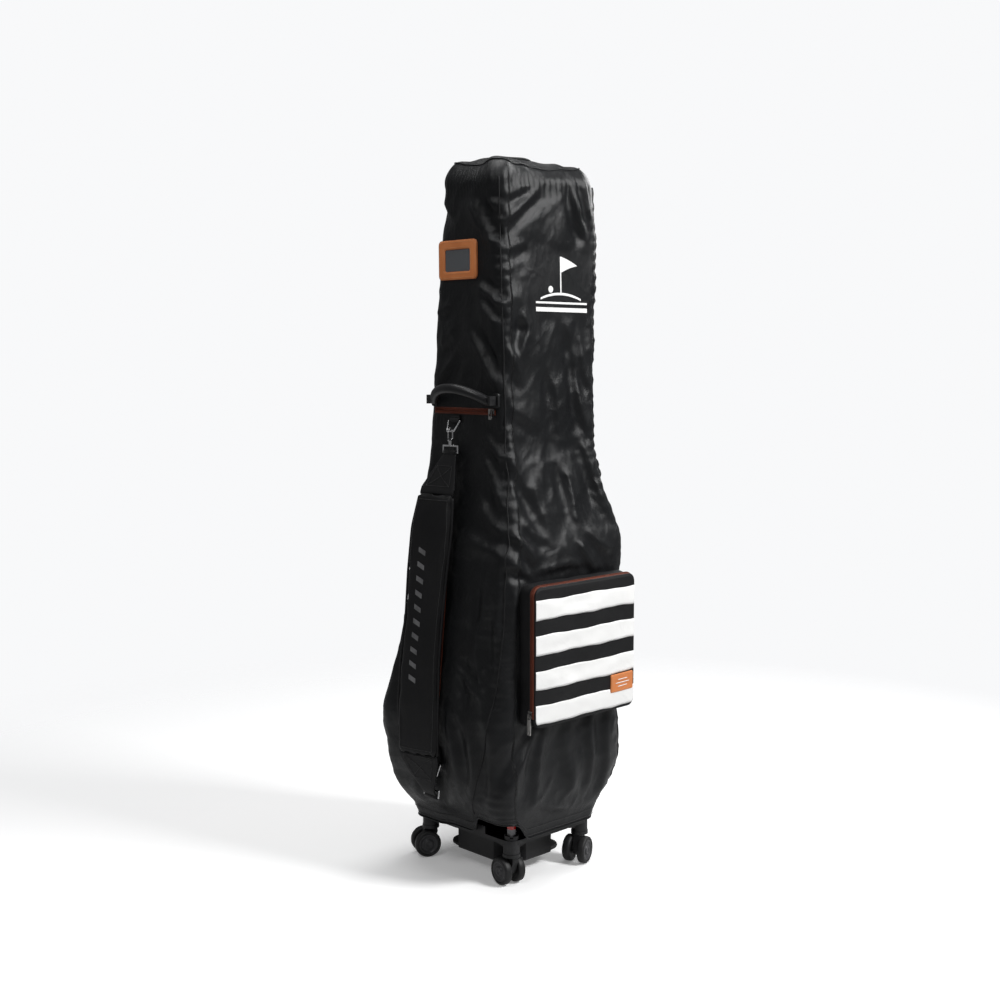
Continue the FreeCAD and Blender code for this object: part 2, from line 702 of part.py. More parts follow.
def build():
    """All nodes by name."""
    nodes = {}
    snaps = hem_snaps()
    screws = base_screws()
    front, left, right, border = cover_panels(snaps)
    nodes["front_panel"] = front
    nodes["left_panel"] = left
    nodes["right_panel"] = right
    nodes["rear_border"] = border
    nodes["rear_flap"] = rear_flap()
    nodes["top_panel"] = top_panel()
    nodes["top_band"] = top_band()
    nodes["hem_snaps"] = snaps
    nodes["base_screws"] = screws
    nodes["base_tray"] = base_tray(screws)
    nodes["base_frame"] = base_frame(screws, snaps)
    nodes["floor_pad"] = floor_pad()
    stem, cap, spring = lock_parts()
    nodes["lock_stem"] = stem
    nodes["lock_cap"] = cap
    nodes["lock_spring"] = spring
    parts = caster()
    for name, sx, sy, turn in CASTERS:
        for piece, shape in zip(("fork", "pins", "wheel_a", "wheel_b"), parts):
            nodes["caster_" + name + "_" + piece] = place_caster(shape, sx, sy, turn)
    gusset, panel, stripes, label, tape = pocket_parts()
    nodes["pocket_gusset"] = gusset
    nodes["pocket_panel"] = panel
    nodes["pocket_stripes"] = stripes
    nodes["pocket_label"] = label
    nodes["pocket_zipper"] = tape
    grip, lugs = handle_parts()
    nodes["handle_grip"] = grip
    nodes["handle_mounts"] = lugs
    frame, window = id_parts()
    nodes["id_frame"] = frame
    nodes["id_window"] = window
    slot, side = left_zips()
    nodes["slot_zipper"] = slot
    nodes["side_zipper"] = side
    nodes["rear_zipper"] = rear_tape()
    face = left_x(SLOT_Z) - 2.3
    nodes["slot_slider"], nodes["slot_pull"] = slot_set(face)
    up_side = V(math.sin(SIDE_SLOPE), 0, math.cos(SIDE_SLOPE))
    at = V(left_x(445) - 1.6, SIDE_Y, 445)
    nodes["side_slider"], nodes["side_pull"] = zip_set(-1, 0, at, up_side, 26)
    up_rear = V(0, -math.sin(REAR_SLOPE), math.cos(REAR_SLOPE))
    at = V(ZIP_X - 7.6, rear_y(460) + 1.6, 460)
    nodes["rear_slider"], nodes["rear_pull"] = zip_set(0, 1, at, up_rear, 30)
    at = V(POCKET[0] - 1.2, POCKET[2] + 7.5, 326)
    nodes["pocket_slider"], nodes["pocket_pull"] = zip_set(-1, 0, at, UP, 36)
    rings, tabs = ring_mounts()
    nodes["strap_rings"] = rings
    nodes["ring_tabs"] = tabs
    nodes["strap_pad"] = strap_pad()
    nodes["upper_hook"], nodes["upper_gate"] = snap_hook(RING_TOP, 0)
    nodes["lower_hook"], nodes["lower_gate"] = snap_hook(RING_LOW, 8)
    nodes["strap_tabs"] = strap_tabs(8)
    return nodes


os.makedirs("parts", exist_ok=True)
for name, shape in build().items():
    shape.translate(V(SHIFT_X, SHIFT_Y, 0))
    shape.exportStep("parts/" + name + ".step")
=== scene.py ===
"""Visual model of a tall soft golf travel case on a wheeled base.

Sizes are in millimetres from the middle of the base, as the case is cut and
sewn; place() turns them into metres in the shared frame.
"""

import json
import logging
import math
from dataclasses import dataclass, field
from enum import Enum
from typing import Callable, Dict, Iterable, List, Optional, Sequence, Tuple

import bmesh
import bpy
import numpy as np
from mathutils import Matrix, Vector, noise
from mathutils.bvhtree import BVHTree

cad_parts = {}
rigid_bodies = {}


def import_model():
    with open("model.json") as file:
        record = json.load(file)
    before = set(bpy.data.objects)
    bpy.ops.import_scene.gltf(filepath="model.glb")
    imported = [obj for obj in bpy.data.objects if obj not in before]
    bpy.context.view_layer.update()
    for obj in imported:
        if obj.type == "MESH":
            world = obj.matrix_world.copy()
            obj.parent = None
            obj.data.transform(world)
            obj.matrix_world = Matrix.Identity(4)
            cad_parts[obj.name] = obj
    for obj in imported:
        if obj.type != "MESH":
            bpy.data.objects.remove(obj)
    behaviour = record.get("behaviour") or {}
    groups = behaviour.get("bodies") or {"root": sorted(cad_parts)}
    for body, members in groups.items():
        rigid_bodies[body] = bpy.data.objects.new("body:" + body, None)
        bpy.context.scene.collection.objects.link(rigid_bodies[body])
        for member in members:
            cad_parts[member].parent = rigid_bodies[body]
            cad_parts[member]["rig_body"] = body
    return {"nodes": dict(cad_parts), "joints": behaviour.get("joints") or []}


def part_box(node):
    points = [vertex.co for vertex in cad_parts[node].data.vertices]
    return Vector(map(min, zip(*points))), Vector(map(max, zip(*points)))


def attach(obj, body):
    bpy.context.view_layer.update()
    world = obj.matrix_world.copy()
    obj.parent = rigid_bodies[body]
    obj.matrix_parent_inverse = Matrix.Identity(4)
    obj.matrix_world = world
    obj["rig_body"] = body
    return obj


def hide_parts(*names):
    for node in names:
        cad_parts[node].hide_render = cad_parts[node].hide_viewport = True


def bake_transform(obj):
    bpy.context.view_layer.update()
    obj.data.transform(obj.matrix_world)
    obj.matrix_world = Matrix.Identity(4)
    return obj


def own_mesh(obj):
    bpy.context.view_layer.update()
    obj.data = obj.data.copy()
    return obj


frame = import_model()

LOG = logging.getLogger("travel_case")
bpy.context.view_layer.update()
MM = 0.001
SHIFT = np.array([12.0, 15.0, 0.0])
Array = np.ndarray
Piece = bpy.types.Object
Material = bpy.types.Material
Socket = bpy.types.NodeSocket
Face = Tuple[int, ...]
Point = Sequence[float]
Pair = Tuple[float, float]
Table = Tuple[Tuple[float, ...], ...]
Values = Tuple[Tuple[str, float], ...]


class Body(Enum):
    """Moving bodies that the soft pieces ride on."""

    CASE = "case"
    DOOR = "rear_door"
    POCKET = "pocket_flap"
    STRAP = "strap"


class Side(Enum):
    """Faces of the cover, each with the direction it looks."""

    FRONT = (0.0, -1.0, 0.0)
    LEFT = (-1.0, 0.0, 0.0)
    RIGHT = (1.0, 0.0, 0.0)
    REAR = (0.0, 1.0, 0.0)
    TOP = (0.0, 0.0, 1.0)


# ---------------------------------------------------------------- mesh tools


def place(points: Iterable[Point]) -> Array:
    """Points in maker's millimetres as metres in the shared frame."""
    return (np.asarray(list(points), float).reshape(-1, 3) + SHIFT) * MM


def unplace(points: Array) -> Array:
    """Metres in the shared frame back to maker's millimetres."""
    return np.asarray(points, float) / MM - SHIFT


def smooth_step(low: float, high: float, value: Array) -> Array:
    """Eased ramp from 0 at low to 1 at high."""
    t = np.clip((np.asarray(value, float) - low) / (high - low), 0.0, 1.0)
    return t * t * (3.0 - 2.0 * t)


def hump(value: Array, middle: float, width: float) -> Array:
    """Bell curve, 1 at its middle."""
    return np.exp(-(((value - middle) / width) ** 2))


def unit(rows: Array) -> Array:
    """Rows scaled to a length of one."""
    return rows / (np.linalg.norm(rows, axis=-1, keepdims=True) + 1e-12)


def lengths(path: Array) -> Array:
    """Distance along a path at each of its points."""
    return np.concatenate([[0.0], np.cumsum(np.linalg.norm(np.diff(path, axis=0), axis=1))])


def sample(at: Array, along: Array, rows: Array) -> Array:
    """Rows read at given distances along them."""
    return np.stack([np.interp(at, along, rows[:, k]) for k in range(rows.shape[1])], -1)


def read_points(mesh: bpy.types.Mesh) -> Array:
    """Places of a mesh's vertices in metres."""
    flat = np.zeros(len(mesh.vertices) * 3)
    mesh.vertices.foreach_get("co", flat)
    return flat.reshape(-1, 3)


def run_cloth(obj: Piece, frames: int, gravity: float, **settings: object) -> Array:
    """Runs a short cloth simulation and clears it from the piece.

    Args:
        obj: piece to simulate.
        frames: how many frames to run.
        gravity: share of the scene's gravity.
        **settings: cloth settings by name.

    Returns:
        Where each vertex ends, in metres.
    """
    mod = obj.modifiers.new("Cloth", "CLOTH")
    mod.settings.quality = 6
    for name, value in settings.items():
        setattr(mod.settings, name, value)
    mod.settings.effector_weights.gravity = gravity
    mod.point_cache.frame_start = 1
    mod.point_cache.frame_end = frames + 2
    for frame_number in range(1, frames + 1):
        bpy.context.scene.frame_set(frame_number)
    ends = read_points(obj.evaluated_get(bpy.context.evaluated_depsgraph_get()).data)
    obj.modifiers.clear()
    bpy.context.scene.frame_set(1)
    return ends


def make_piece(name: str, verts: Array, faces: Sequence[Face], finish: "Finish", body: str,
               uvs: Optional[Array] = None) -> Piece:
    """Makes one mesh piece, dresses it and sets it on its body.

    Args:
        name: piece name.
        verts: vertex rows in millimetres.
        faces: vertex indices of each face.
        finish: finish to wear.
        body: body that the piece rides on, or nothing to leave it unattached.
        uvs: optional map coordinates in metres, one row per vertex.

    Returns:
        The new object.
    """
    mesh = bpy.data.meshes.new(name)
    mesh.from_pydata(place(verts).tolist(), [], [tuple(map(int, f)) for f in faces])
    mesh.validate()
    mesh.update()
    if uvs is not None:
        layer = mesh.uv_layers.new(name="UVMap")
        index = np.zeros(len(mesh.loops), np.int32)
        mesh.loops.foreach_get("vertex_index", index)
        layer.data.foreach_set("uv", np.asarray(uvs, np.float32)[index].ravel())
    mesh.materials.append(RACK.get(finish))
    mesh.polygons.foreach_set("use_smooth", [True] * len(mesh.polygons))
    obj = bpy.data.objects.new(name, mesh)
    bpy.context.scene.collection.objects.link(obj)
    if body:
        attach(obj, body)
    return obj


def thicken(obj: Piece, thickness: float, offset: float = -1.0) -> Piece:
    """Gives a sheet its thickness."""
    mod = obj.modifiers.new("Thickness", "SOLIDIFY")
    mod.thickness = thickness * MM
    mod.offset = offset
    mod.use_even_offset = False
    return obj


def even_normals(obj: Piece, way: Optional[Point] = None) -> None:
    """Makes faces look outward.

    Args:
        obj: piece to turn.
        way: for an open sheet, the direction that it should look on the whole.
    """
    work = bmesh.new()
    work.from_mesh(obj.data)
    if way is None:
        bmesh.ops.recalc_face_normals(work, faces=work.faces[:])
    elif sum((f.normal * f.calc_area() for f in work.faces), Vector()).dot(Vector(way)) < 0:
        bmesh.ops.reverse_faces(work, faces=work.faces[:])
    work.to_mesh(obj.data)
    work.free()


def soften(obj: Piece, levels: int = 1) -> Piece:
    """Rounds a piece with a subdivision surface."""
    mod = obj.modifiers.new("Round", "SUBSURF")
    mod.levels = levels
    mod.render_levels = levels
    return obj


def grid_faces(rows: int, cols: int, closed: bool = False, start: int = 0) -> List[Face]:
    """Quads of a grid of vertices laid out row by row.

    Args:
        rows: number of vertex rows.
        cols: number of vertices in a row.
        closed: whether each row joins up with its own start.
        start: index of the first vertex.

    Returns:
        Faces as index tuples.
    """
    out: List[Face] = []
    span = cols if closed else cols - 1
    for j in range(rows - 1):
        for i in range(span):
            k = (i + 1) % cols
            a = start + j * cols
            b = a + cols
            out.append((a + i, a + k, b + k, b + i))
    return out


class Sheaf:
    """Collects several small meshes into one piece."""

    def __init__(self) -> None:
        """Starts empty."""
        self.verts: List[Array] = []
        self.faces: List[Face] = []
        self.count = 0

    def add(self, verts: Array, faces: Sequence[Face]) -> None:
        """Adds one mesh."""
        rows = np.asarray(verts, float).reshape(-1, 3)
        self.verts.append(rows)
        self.faces.extend(tuple(int(i) + self.count for i in f) for f in faces)
        self.count += len(rows)

    def grid(self, rows: Array, closed: bool = False) -> None:
        """Adds a grid given as an array of rows, columns and x, y, z."""
        self.add(rows.reshape(-1, 3), grid_faces(rows.shape[0], rows.shape[1], closed))

    def tube(self, path: Array, radius: float, sides: int = 8, closed: bool = False,
             flat: float = 1.0) -> None:
        """Adds a round cord along a path.

        Args:
            path: points in millimetres.
            radius: cord radius.
            sides: facets round the cord.
            closed: whether the path is a loop.
            flat: thickness across the first frame direction, as a share.
        """
        pts = np.asarray(path, float)
        ahead = np.roll(pts, -1, 0) - np.roll(pts, 1, 0)
        if not closed:
            ahead[0] = pts[1] - pts[0]
            ahead[-1] = pts[-1] - pts[-2]
        ahead = unit(ahead)
        side = np.cross(ahead[0], (0.0, 0.0, 1.0))
        if np.linalg.norm(side) < 0.1:
            side = np.cross(ahead[0], (1.0, 0.0, 0.0))
        rings = []
        for p, d in zip(pts, ahead):
            side = unit(side - d * np.dot(side, d))
            up = np.cross(d, side)
            turn = np.linspace(0, 2 * math.pi, sides, endpoint=False)
            rings.append(p + radius * (np.cos(turn)[:, None] * side * flat + np.sin(turn)[:, None] * up))
        if closed:
            rings.append(rings[0])
        start = self.count
        self.grid(np.asarray(rings), True)
        if not closed:
            self.faces.append(tuple(start + i for i in range(sides))[::-1])
            last = self.count - sides
            self.faces.append(tuple(last + i for i in range(sides)))

    def build(self, name: str, finish: "Finish", slot: str, body: str) -> Piece:
        """Turns the collection into a piece."""
        return make_piece(name, np.vstack(self.verts), self.faces, finish, body)


def resample(path: Sequence[Point], step: float, closed: bool = False) -> Array:
    """Even points along a path.

    Args:
        path: corner points in millimetres.
        step: wanted spacing.
        closed: whether the path is a loop.

    Returns:
        Points at about that spacing.
    """
    pts = np.asarray(path, float)
    if closed:
        pts = np.vstack([pts, pts[:1]])
    along = lengths(pts)
    count = max(2, int(round(along[-1] / step)) + 1)
    want = np.linspace(0, along[-1], count)
    out = sample(want, along, pts)
    return out[:-1] if closed else out


def relax(path: Array, rounds: int, closed: bool = False) -> Array:
    """Evens out a path by averaging neighbours.

    Args:
        path: points.
        rounds: how many times to average.
        closed: whether the path is a loop.

    Returns:
        The smoother path, with free ends kept.
    """
    pts = np.array(path, float)
    for _ in range(rounds):
        mid = (np.roll(pts, 1, 0) + 2 * pts + np.roll(pts, -1, 0)) / 4
        if not closed:
            mid[0] = pts[0]
            mid[-1] = pts[-1]
        pts = mid
    return pts


def wander(points: Array, size: float, seed: float) -> Array:
    """Smooth noise between about -1 and 1 at each point."""
    base = np.asarray(points, float).reshape(-1, 3) / size + seed
    return np.array([noise.noise(Vector(p)) for p in base])


# ------------------------------------------------------------------ finishes


class Graph:
    """Adds and links shader nodes in one material or group."""

    def __init__(self, tree: bpy.types.NodeTree) -> None:
        """Works on the given node tree."""
        self.tree = tree

    def node(self, kind: str, values: Optional[Dict[str, object]] = None, **props: object) -> bpy.types.Node:
        """Adds a node.

        Args:
            kind: node type name.
            values: input socket values, or sockets to link from.
            **props: node properties.

        Returns:
            The node.
        """
        made = self.tree.nodes.new(kind)
        for key, value in props.items():
            setattr(made, key, value)
        for key, value in (values or {}).items():
            spot = made.inputs[int(key[1:])] if key.startswith("#") else made.inputs[key]
            if isinstance(value, Socket):
                self.tree.links.new(value, spot)
            else:
                spot.default_value = value
        return made

    def math(self, how: str, a: object, b: object = 0.0, clamp: bool = False) -> Socket:
        """Result of a sum on values or sockets."""
        return self.node("ShaderNodeMath", {"#0": a, "#1": b}, operation=how, use_clamp=clamp).outputs[0]

    def mix(self, share: object, a: object, b: object) -> Socket:
        """Mixes two colours.

        Args:
            share: part of the second colour.
            a: first colour or socket.
            b: second colour or socket.

        Returns:
            The colour socket.
        """
        made = self.node("ShaderNodeMix", data_type="RGBA")
        for spot, value in ((0, share), (6, a), (7, b)):
            if isinstance(value, Socket):
                self.tree.links.new(value, made.inputs[spot])
            else:
                made.inputs[spot].default_value = value
        return made.outputs[2]

    def ramp(self, value: object, low: float, high: float, out_low: float, out_high: float) -> Socket:
        """Maps a range to another, held at both ends."""
        made = self.node("ShaderNodeMapRange", {"Value": value, "From Min": low, "From Max": high,
                                                "To Min": out_low, "To Max": out_high})
        return made.outputs[0]


class Effect(Enum):
    """Surface effects that several finishes share."""

    WEAVE = "Cloth weave"
    RIPSTOP = "Ripstop lines"
    CRUMPLE = "Cloth crumple"
    GRAIN = "Fine grain"
    MOTTLE = "Tone variation"
    WEAR = "Edge wear"
    RIBS = "Webbing ribs"


class EffectBook:
    """Builds each shared effect once."""

    def __init__(self) -> None:
        """Starts with no effects."""
        self.made: Dict[Effect, bpy.types.NodeTree] = {}

    def get(self, effect: Effect) -> bpy.types.NodeTree:
        """The node group of an effect, built when first asked for."""
        if effect not in self.made:
            self.made[effect] = self._build(effect)
        return self.made[effect]

    def _start(self, effect: Effect, inputs: Sequence[Tuple[str, float]],
               output: str) -> Tuple[Graph, bpy.types.Node]:
        """Opens a group with its sockets.

        Args:
            effect: the effect to build.
            inputs: names and default values of number inputs.
            output: name of its one value output.

        Returns:
            The graph and its input node.
        """
        tree = bpy.data.node_groups.new(effect.value, "ShaderNodeTree")
        tree.interface.new_socket(name="Vector", in_out="INPUT", socket_type="NodeSocketVector")
        for name, value in inputs:
            made = tree.interface.new_socket(name=name, in_out="INPUT", socket_type="NodeSocketFloat")
            made.default_value = value
        tree.interface.new_socket(name=output, in_out="OUTPUT", socket_type="NodeSocketFloat")
        graph = Graph(tree)
        return graph, graph.node("NodeGroupInput")

    def _build(self, effect: Effect) -> bpy.types.NodeTree:
        """Builds the node group of an effect.

        Args:
            effect: the effect to build.

        Returns:
            The group.
        """
        if effect in (Effect.WEAVE, Effect.RIBS):
            g, given = self._start(effect, (("Pitch", 0.0012),), "Height")
            split = g.node("ShaderNodeSeparateXYZ", {"#0": given.outputs["Vector"]})
            turn = g.math("DIVIDE", 2 * math.pi, given.outputs["Pitch"])
            u = g.math("SINE", g.math("MULTIPLY", split.outputs[0], turn))
            v = g.math("SINE", g.math("MULTIPLY", split.outputs[1], turn))
            if effect is Effect.WEAVE:
                value = g.ramp(g.math("MULTIPLY", u, v), -1, 1, 0, 1)
            else:
                value = g.ramp(g.math("ADD", u, g.math("MULTIPLY", v, 0.5)), -1.5, 1.5, 0, 1)
        elif effect is Effect.RIPSTOP:
            g, given = self._start(effect, (("Pitch", 0.006), ("Width", 0.12)), "Lines")
            split = g.node("ShaderNodeSeparateXYZ", {"#0": given.outputs["Vector"]})
            lines = []
            for how in ("ADD", "SUBTRACT"):
                along = g.math(how, split.outputs[0], split.outputs[1])
                saw = g.math("FRACT", g.math("DIVIDE", along, given.outputs["Pitch"]))
                near = g.math("ABSOLUTE", g.math("SUBTRACT", saw, 0.5))
                lines.append(g.math("LESS_THAN", near, g.math("MULTIPLY", given.outputs["Width"], 0.5)))
            value = g.math("MAXIMUM", lines[0], lines[1])
        elif effect is Effect.CRUMPLE:
            g, given = self._start(effect, (("Scale", 30.0), ("Stretch", 0.55)), "Height")
            scale = g.node("ShaderNodeCombineXYZ", {"#0": 1.0, "#1": 1.0, "#2": given.outputs["Stretch"]})
            long = g.node("ShaderNodeVectorMath", {"#0": given.outputs["Vector"], "#1": scale.outputs[0]},
                          operation="MULTIPLY")
            coarse = g.node("ShaderNodeTexNoise", {"Vector": long.outputs[0], "Scale": given.outputs["Scale"],
                                                   "Detail": 3.0, "Roughness": 0.5, "Distortion": 0.9})
            fold = g.math("ABSOLUTE", g.math("SUBTRACT", coarse.outputs[0], 0.5))
            value = g.ramp(fold, 0.0, 0.22, 1.0, 0.0)
        elif effect is Effect.GRAIN:
            g, given = self._start(effect, (("Scale", 900.0),), "Height")
            cells = g.node("ShaderNodeTexVoronoi", {"Vector": given.outputs["Vector"],
                                                    "Scale": given.outputs["Scale"]}, feature="SMOOTH_F1")
            value = g.ramp(cells.outputs["Distance"], 0.0, 0.7, 0.0, 1.0)
        elif effect is Effect.MOTTLE:
            g, given = self._start(effect, (("Scale", 12.0),), "Tone")
            cloud = g.node("ShaderNodeTexNoise", {"Vector": given.outputs["Vector"],
                                                  "Scale": given.outputs["Scale"], "Detail": 5.0})
            value = g.ramp(cloud.outputs[0], 0.3, 0.7, 0.0, 1.0)
        else:
            g, given = self._start(effect, (("Scale", 60.0), ("Amount", 0.5)), "Mask")
            edge = g.node("ShaderNodeNewGeometry")
            sharp = g.ramp(edge.outputs["Pointiness"], 0.53, 0.62, 0.0, 1.0)
            patch = g.node("ShaderNodeTexNoise", {"Vector": given.outputs["Vector"],
                                                  "Scale": given.outputs["Scale"], "Detail": 4.0})
            rub = g.math("MULTIPLY", sharp, g.ramp(patch.outputs[0], 0.35, 0.65, 0.0, 1.0))
            value = g.math("MULTIPLY", rub, given.outputs["Amount"])
        g.node("NodeGroupOutput", {"#0": value})
        return g.tree


EFFECTS = EffectBook()
Relief = Tuple[Effect, Values, float]


def grain(scale: float, depth: float) -> Relief:
    """Fine grain, with its scale and its depth in millimetres."""
    return Effect.GRAIN, (("Scale", scale),), depth


def crumple(scale: float, stretch: float, depth: float) -> Relief:
    """Crumpled cloth, with its scale, stretch and depth in millimetres."""
    return Effect.CRUMPLE, (("Scale", scale), ("Stretch", stretch)), depth


def woven(pitch: float, depth: float, effect: Effect = Effect.WEAVE) -> Relief:
    """Weave or webbing ribs, with the pitch in metres and depth in millimetres."""
    return effect, (("Pitch", pitch),), depth


class Coordinates(Enum):
    """Where a pattern takes its place from."""

    MAP = "UV"
    OBJECT = "Object"


@dataclass(frozen=True)
class Finish:
    """One finish of the case: colours, gloss and surface relief.

    The relief effects are given as (effect, its values, depth in millimetres).
    """

    name: str
    base: Tuple[float, float, float]
    second: Tuple[float, float, float]
    roughness: float = 0.5
    roughness_spread: float = 0.08
    metallic: float = 0.0
    specular: float = 0.5
    sheen: float = 0.0
    coat: float = 0.0
    transmission: float = 0.0
    tone_scale: float = 12.0
    wear: float = 0.0
    wear_colour: Tuple[float, float, float] = (0.2, 0.2, 0.2)
    lines: float = 0.0
    relief: Tuple[Relief, ...] = ()
    where: Coordinates = Coordinates.OBJECT
    upright: bool = False

    def build(self) -> Material:
        """Makes the material.

        Returns:
            A node material with this finish.
        """
        made = bpy.data.materials.new(self.name)
        made.use_nodes = True
        tree = made.node_tree
        tree.nodes.clear()
        g = Graph(tree)
        out = g.node("ShaderNodeOutputMaterial")
        shader = g.node("ShaderNodeBsdfPrincipled")
        tree.links.new(shader.outputs[0], out.inputs[0])
        source = g.node("ShaderNodeTexCoord").outputs[self.where.value]
        place_on = source
        if self.upright:
            split = g.node("ShaderNodeSeparateXYZ", {"#0": source})
            across = g.math("ADD", split.outputs[0], split.outputs[1])
            place_on = g.node("ShaderNodeCombineXYZ", {"#0": across, "#1": split.outputs[2]}).outputs[0]
        tone = self._effect(g, Effect.MOTTLE, source, (("Scale", self.tone_scale),))
        colour = g.mix(tone, (*self.base, 1), (*self.second, 1))
        if self.lines:
            lines = self._effect(g, Effect.RIPSTOP, place_on, (("Pitch", self.lines),))
            light = tuple(min(1.0, c * 1.6 + 0.003) for c in self.second)
            colour = g.mix(g.math("MULTIPLY", lines, 0.6), colour, (*light, 1))
        if self.wear:
            mask = self._effect(g, Effect.WEAR, source, (("Amount", self.wear),))
            colour = g.mix(mask, colour, (*self.wear_colour, 1))
        tree.links.new(colour, shader.inputs["Base Color"])
        rough = g.ramp(tone, 0, 1, self.roughness - self.roughness_spread,
                       self.roughness + self.roughness_spread)
        tree.links.new(rough, shader.inputs["Roughness"])
        for name, value in (("Metallic", self.metallic), ("Specular IOR Level", self.specular),
                            ("Sheen Weight", self.sheen), ("Sheen Roughness", 0.35),
                            ("Coat Weight", self.coat),
                            ("Coat Roughness", 0.12), ("Transmission Weight", self.transmission)):
            shader.inputs[name].default_value = value
        bump = None
        for effect, values, depth in self.relief:
            at = source if effect in (Effect.CRUMPLE, Effect.GRAIN) else place_on
            height = self._effect(g, effect, at, values)
            link = {"Height": height, "Strength": 1.0, "Distance": depth * MM}
            if bump is not None:
                link["Normal"] = bump
            bump = g.node("ShaderNodeBump", link).outputs[0]
        if bump is not None:
            tree.links.new(bump, shader.inputs["Normal"])
        return made

    def _effect(self, g: Graph, effect: Effect, vector: Socket,
                values: Values) -> Socket:
        """Places a shared effect in this finish."""
        made = g.node("ShaderNodeGroup", node_tree=EFFECTS.get(effect))
        g.tree.links.new(vector, made.inputs["Vector"])
        for name, value in values:
            made.inputs[name].default_value = value
        return made.outputs[0]


NYLON = Finish(
    "Black nylon", (0.0045, 0.0049, 0.0056), (0.0075, 0.0079, 0.0086), 0.35, 0.05, specular=0.24,
    lines=0.0075, where=Coordinates.MAP, tone_scale=9.0,
    relief=(crumple(6.5, 0.5, 1.1),
            crumple(24, 0.6, 0.2),
            woven(0.0013, 0.10)))
PAD_CLOTH = Finish(
    "Strap cloth", (0.0055, 0.0055, 0.0062), (0.0085, 0.0085, 0.0092), 0.55, 0.05, specular=0.22, sheen=0.02,
    upright=True, relief=(woven(0.0016, 0.16),
                          crumple(16, 0.8, 0.35)))
WEBBING = Finish(
    "Black webbing", (0.0065, 0.0065, 0.007), (0.011, 0.011, 0.012), 0.55, 0.06, specular=0.25, sheen=0.03,
    upright=True, relief=(woven(0.0018, 0.25, Effect.RIBS),))
WHITE_WEB = Finish(
    "White webbing", (0.84, 0.84, 0.83), (0.90, 0.90, 0.89), 0.6, 0.06, specular=0.35, sheen=0.1,
    upright=True, relief=(woven(0.0016, 0.14, Effect.RIBS),
                          crumple(22, 1, 0.3)))
RUST_TAPE = Finish(
    "Rust zip tape", (0.15, 0.034, 0.016), (0.21, 0.050, 0.024), 0.6, 0.06, specular=0.2,
    upright=True, relief=(woven(0.0011, 0.15),))
RUST_COIL = Finish(
    "Rust zip coil", (0.11, 0.026, 0.014), (0.15, 0.036, 0.018), 0.5, 0.06, specular=0.3,
    relief=(grain(1500, 0.03),))
LEATHER = Finish(
    "Tan leather", (0.55, 0.172, 0.052), (0.66, 0.23, 0.078), 0.46, 0.08, specular=0.35, tone_scale=30.0,
    wear=0.5, wear_colour=(0.58, 0.26, 0.11),
    relief=(grain(700, 0.22), grain(1700, 0.06)))
LEATHER_EDGE = Finish(
    "Leather edge", (0.22, 0.07, 0.025), (0.30, 0.10, 0.035), 0.6, 0.08,
    relief=(grain(1200, 0.1),))
VINYL = Finish(
    "Clear vinyl", (0.72, 0.76, 0.82), (0.78, 0.82, 0.87), 0.14, 0.05, transmission=0.9, coat=0.4,
    relief=(crumple(25, 1, 0.25),))
CARD = Finish(
    "Dark card", (0.006, 0.007, 0.010), (0.016, 0.018, 0.024), 0.55, 0.1, tone_scale=20.0,
    relief=(grain(1500, 0.05),))
BASE_PLASTIC = Finish(
    "Moulded base plastic", (0.007, 0.007, 0.0078), (0.011, 0.011, 0.0118), 0.42, 0.07, specular=0.3,
    wear=0.35, wear_colour=(0.05, 0.05, 0.052), relief=(grain(1300, 0.08),))
TYRE = Finish(
    "Wheel tread", (0.008, 0.008, 0.0085), (0.013, 0.013, 0.0135), 0.5, 0.08, specular=0.3,
    wear=0.5, wear_colour=(0.07, 0.07, 0.07), relief=(grain(1500, 0.06),))
WHEEL_FACE = Finish(
    "Wheel face", (0.028, 0.028, 0.030), (0.042, 0.042, 0.045), 0.42, 0.06, specular=0.4,
    relief=(grain(1500, 0.05),))
GRIP = Finish(
    "Handle rubber", (0.008, 0.008, 0.009), (0.013, 0.013, 0.014), 0.36, 0.08, specular=0.35,
    wear=0.25, wear_colour=(0.06, 0.06, 0.06), relief=(grain(1000, 0.12),))
STEM_GREY = Finish(
    "Grey plastic", (0.16, 0.16, 0.165), (0.22, 0.22, 0.225), 0.4, 0.06,
    relief=(grain(1500, 0.05),))
CAP_RED = Finish(
    "Red plastic", (0.42, 0.008, 0.006), (0.52, 0.014, 0.010), 0.24, 0.05, specular=0.6, coat=0.4,
    wear=0.3, wear_colour=(0.7, 0.12, 0.08), relief=(grain(900, 0.03),))
SILVER = Finish(
    "Plated metal", (0.62, 0.62, 0.63), (0.74, 0.74, 0.75), 0.26, 0.07, metallic=1.0, tone_scale=60.0,
    wear=0.4, wear_colour=(0.9, 0.9, 0.9), relief=(grain(800, 0.03),))
GUNMETAL = Finish(
    "Dark plated metal", (0.24, 0.235, 0.23), (0.34, 0.33, 0.32), 0.3, 0.07, metallic=1.0, tone_scale=60.0,
    wear=0.6, wear_colour=(0.8, 0.78, 0.75), relief=(grain(800, 0.03),))
STEEL = Finish(
    "Plain steel", (0.40, 0.40, 0.41), (0.52, 0.52, 0.53), 0.34, 0.08, metallic=1.0, tone_scale=90.0,
    relief=(grain(1200, 0.03),))
FOAM = Finish(
    "Lining foam", (0.035, 0.035, 0.037), (0.05, 0.05, 0.052), 0.85, 0.05, specular=0.2,
    relief=(grain(500, 0.3),))
THREAD = Finish(
    "Dark thread", (0.035, 0.035, 0.036), (0.055, 0.055, 0.056), 0.55, 0.05,
    relief=(grain(2500, 0.05),))
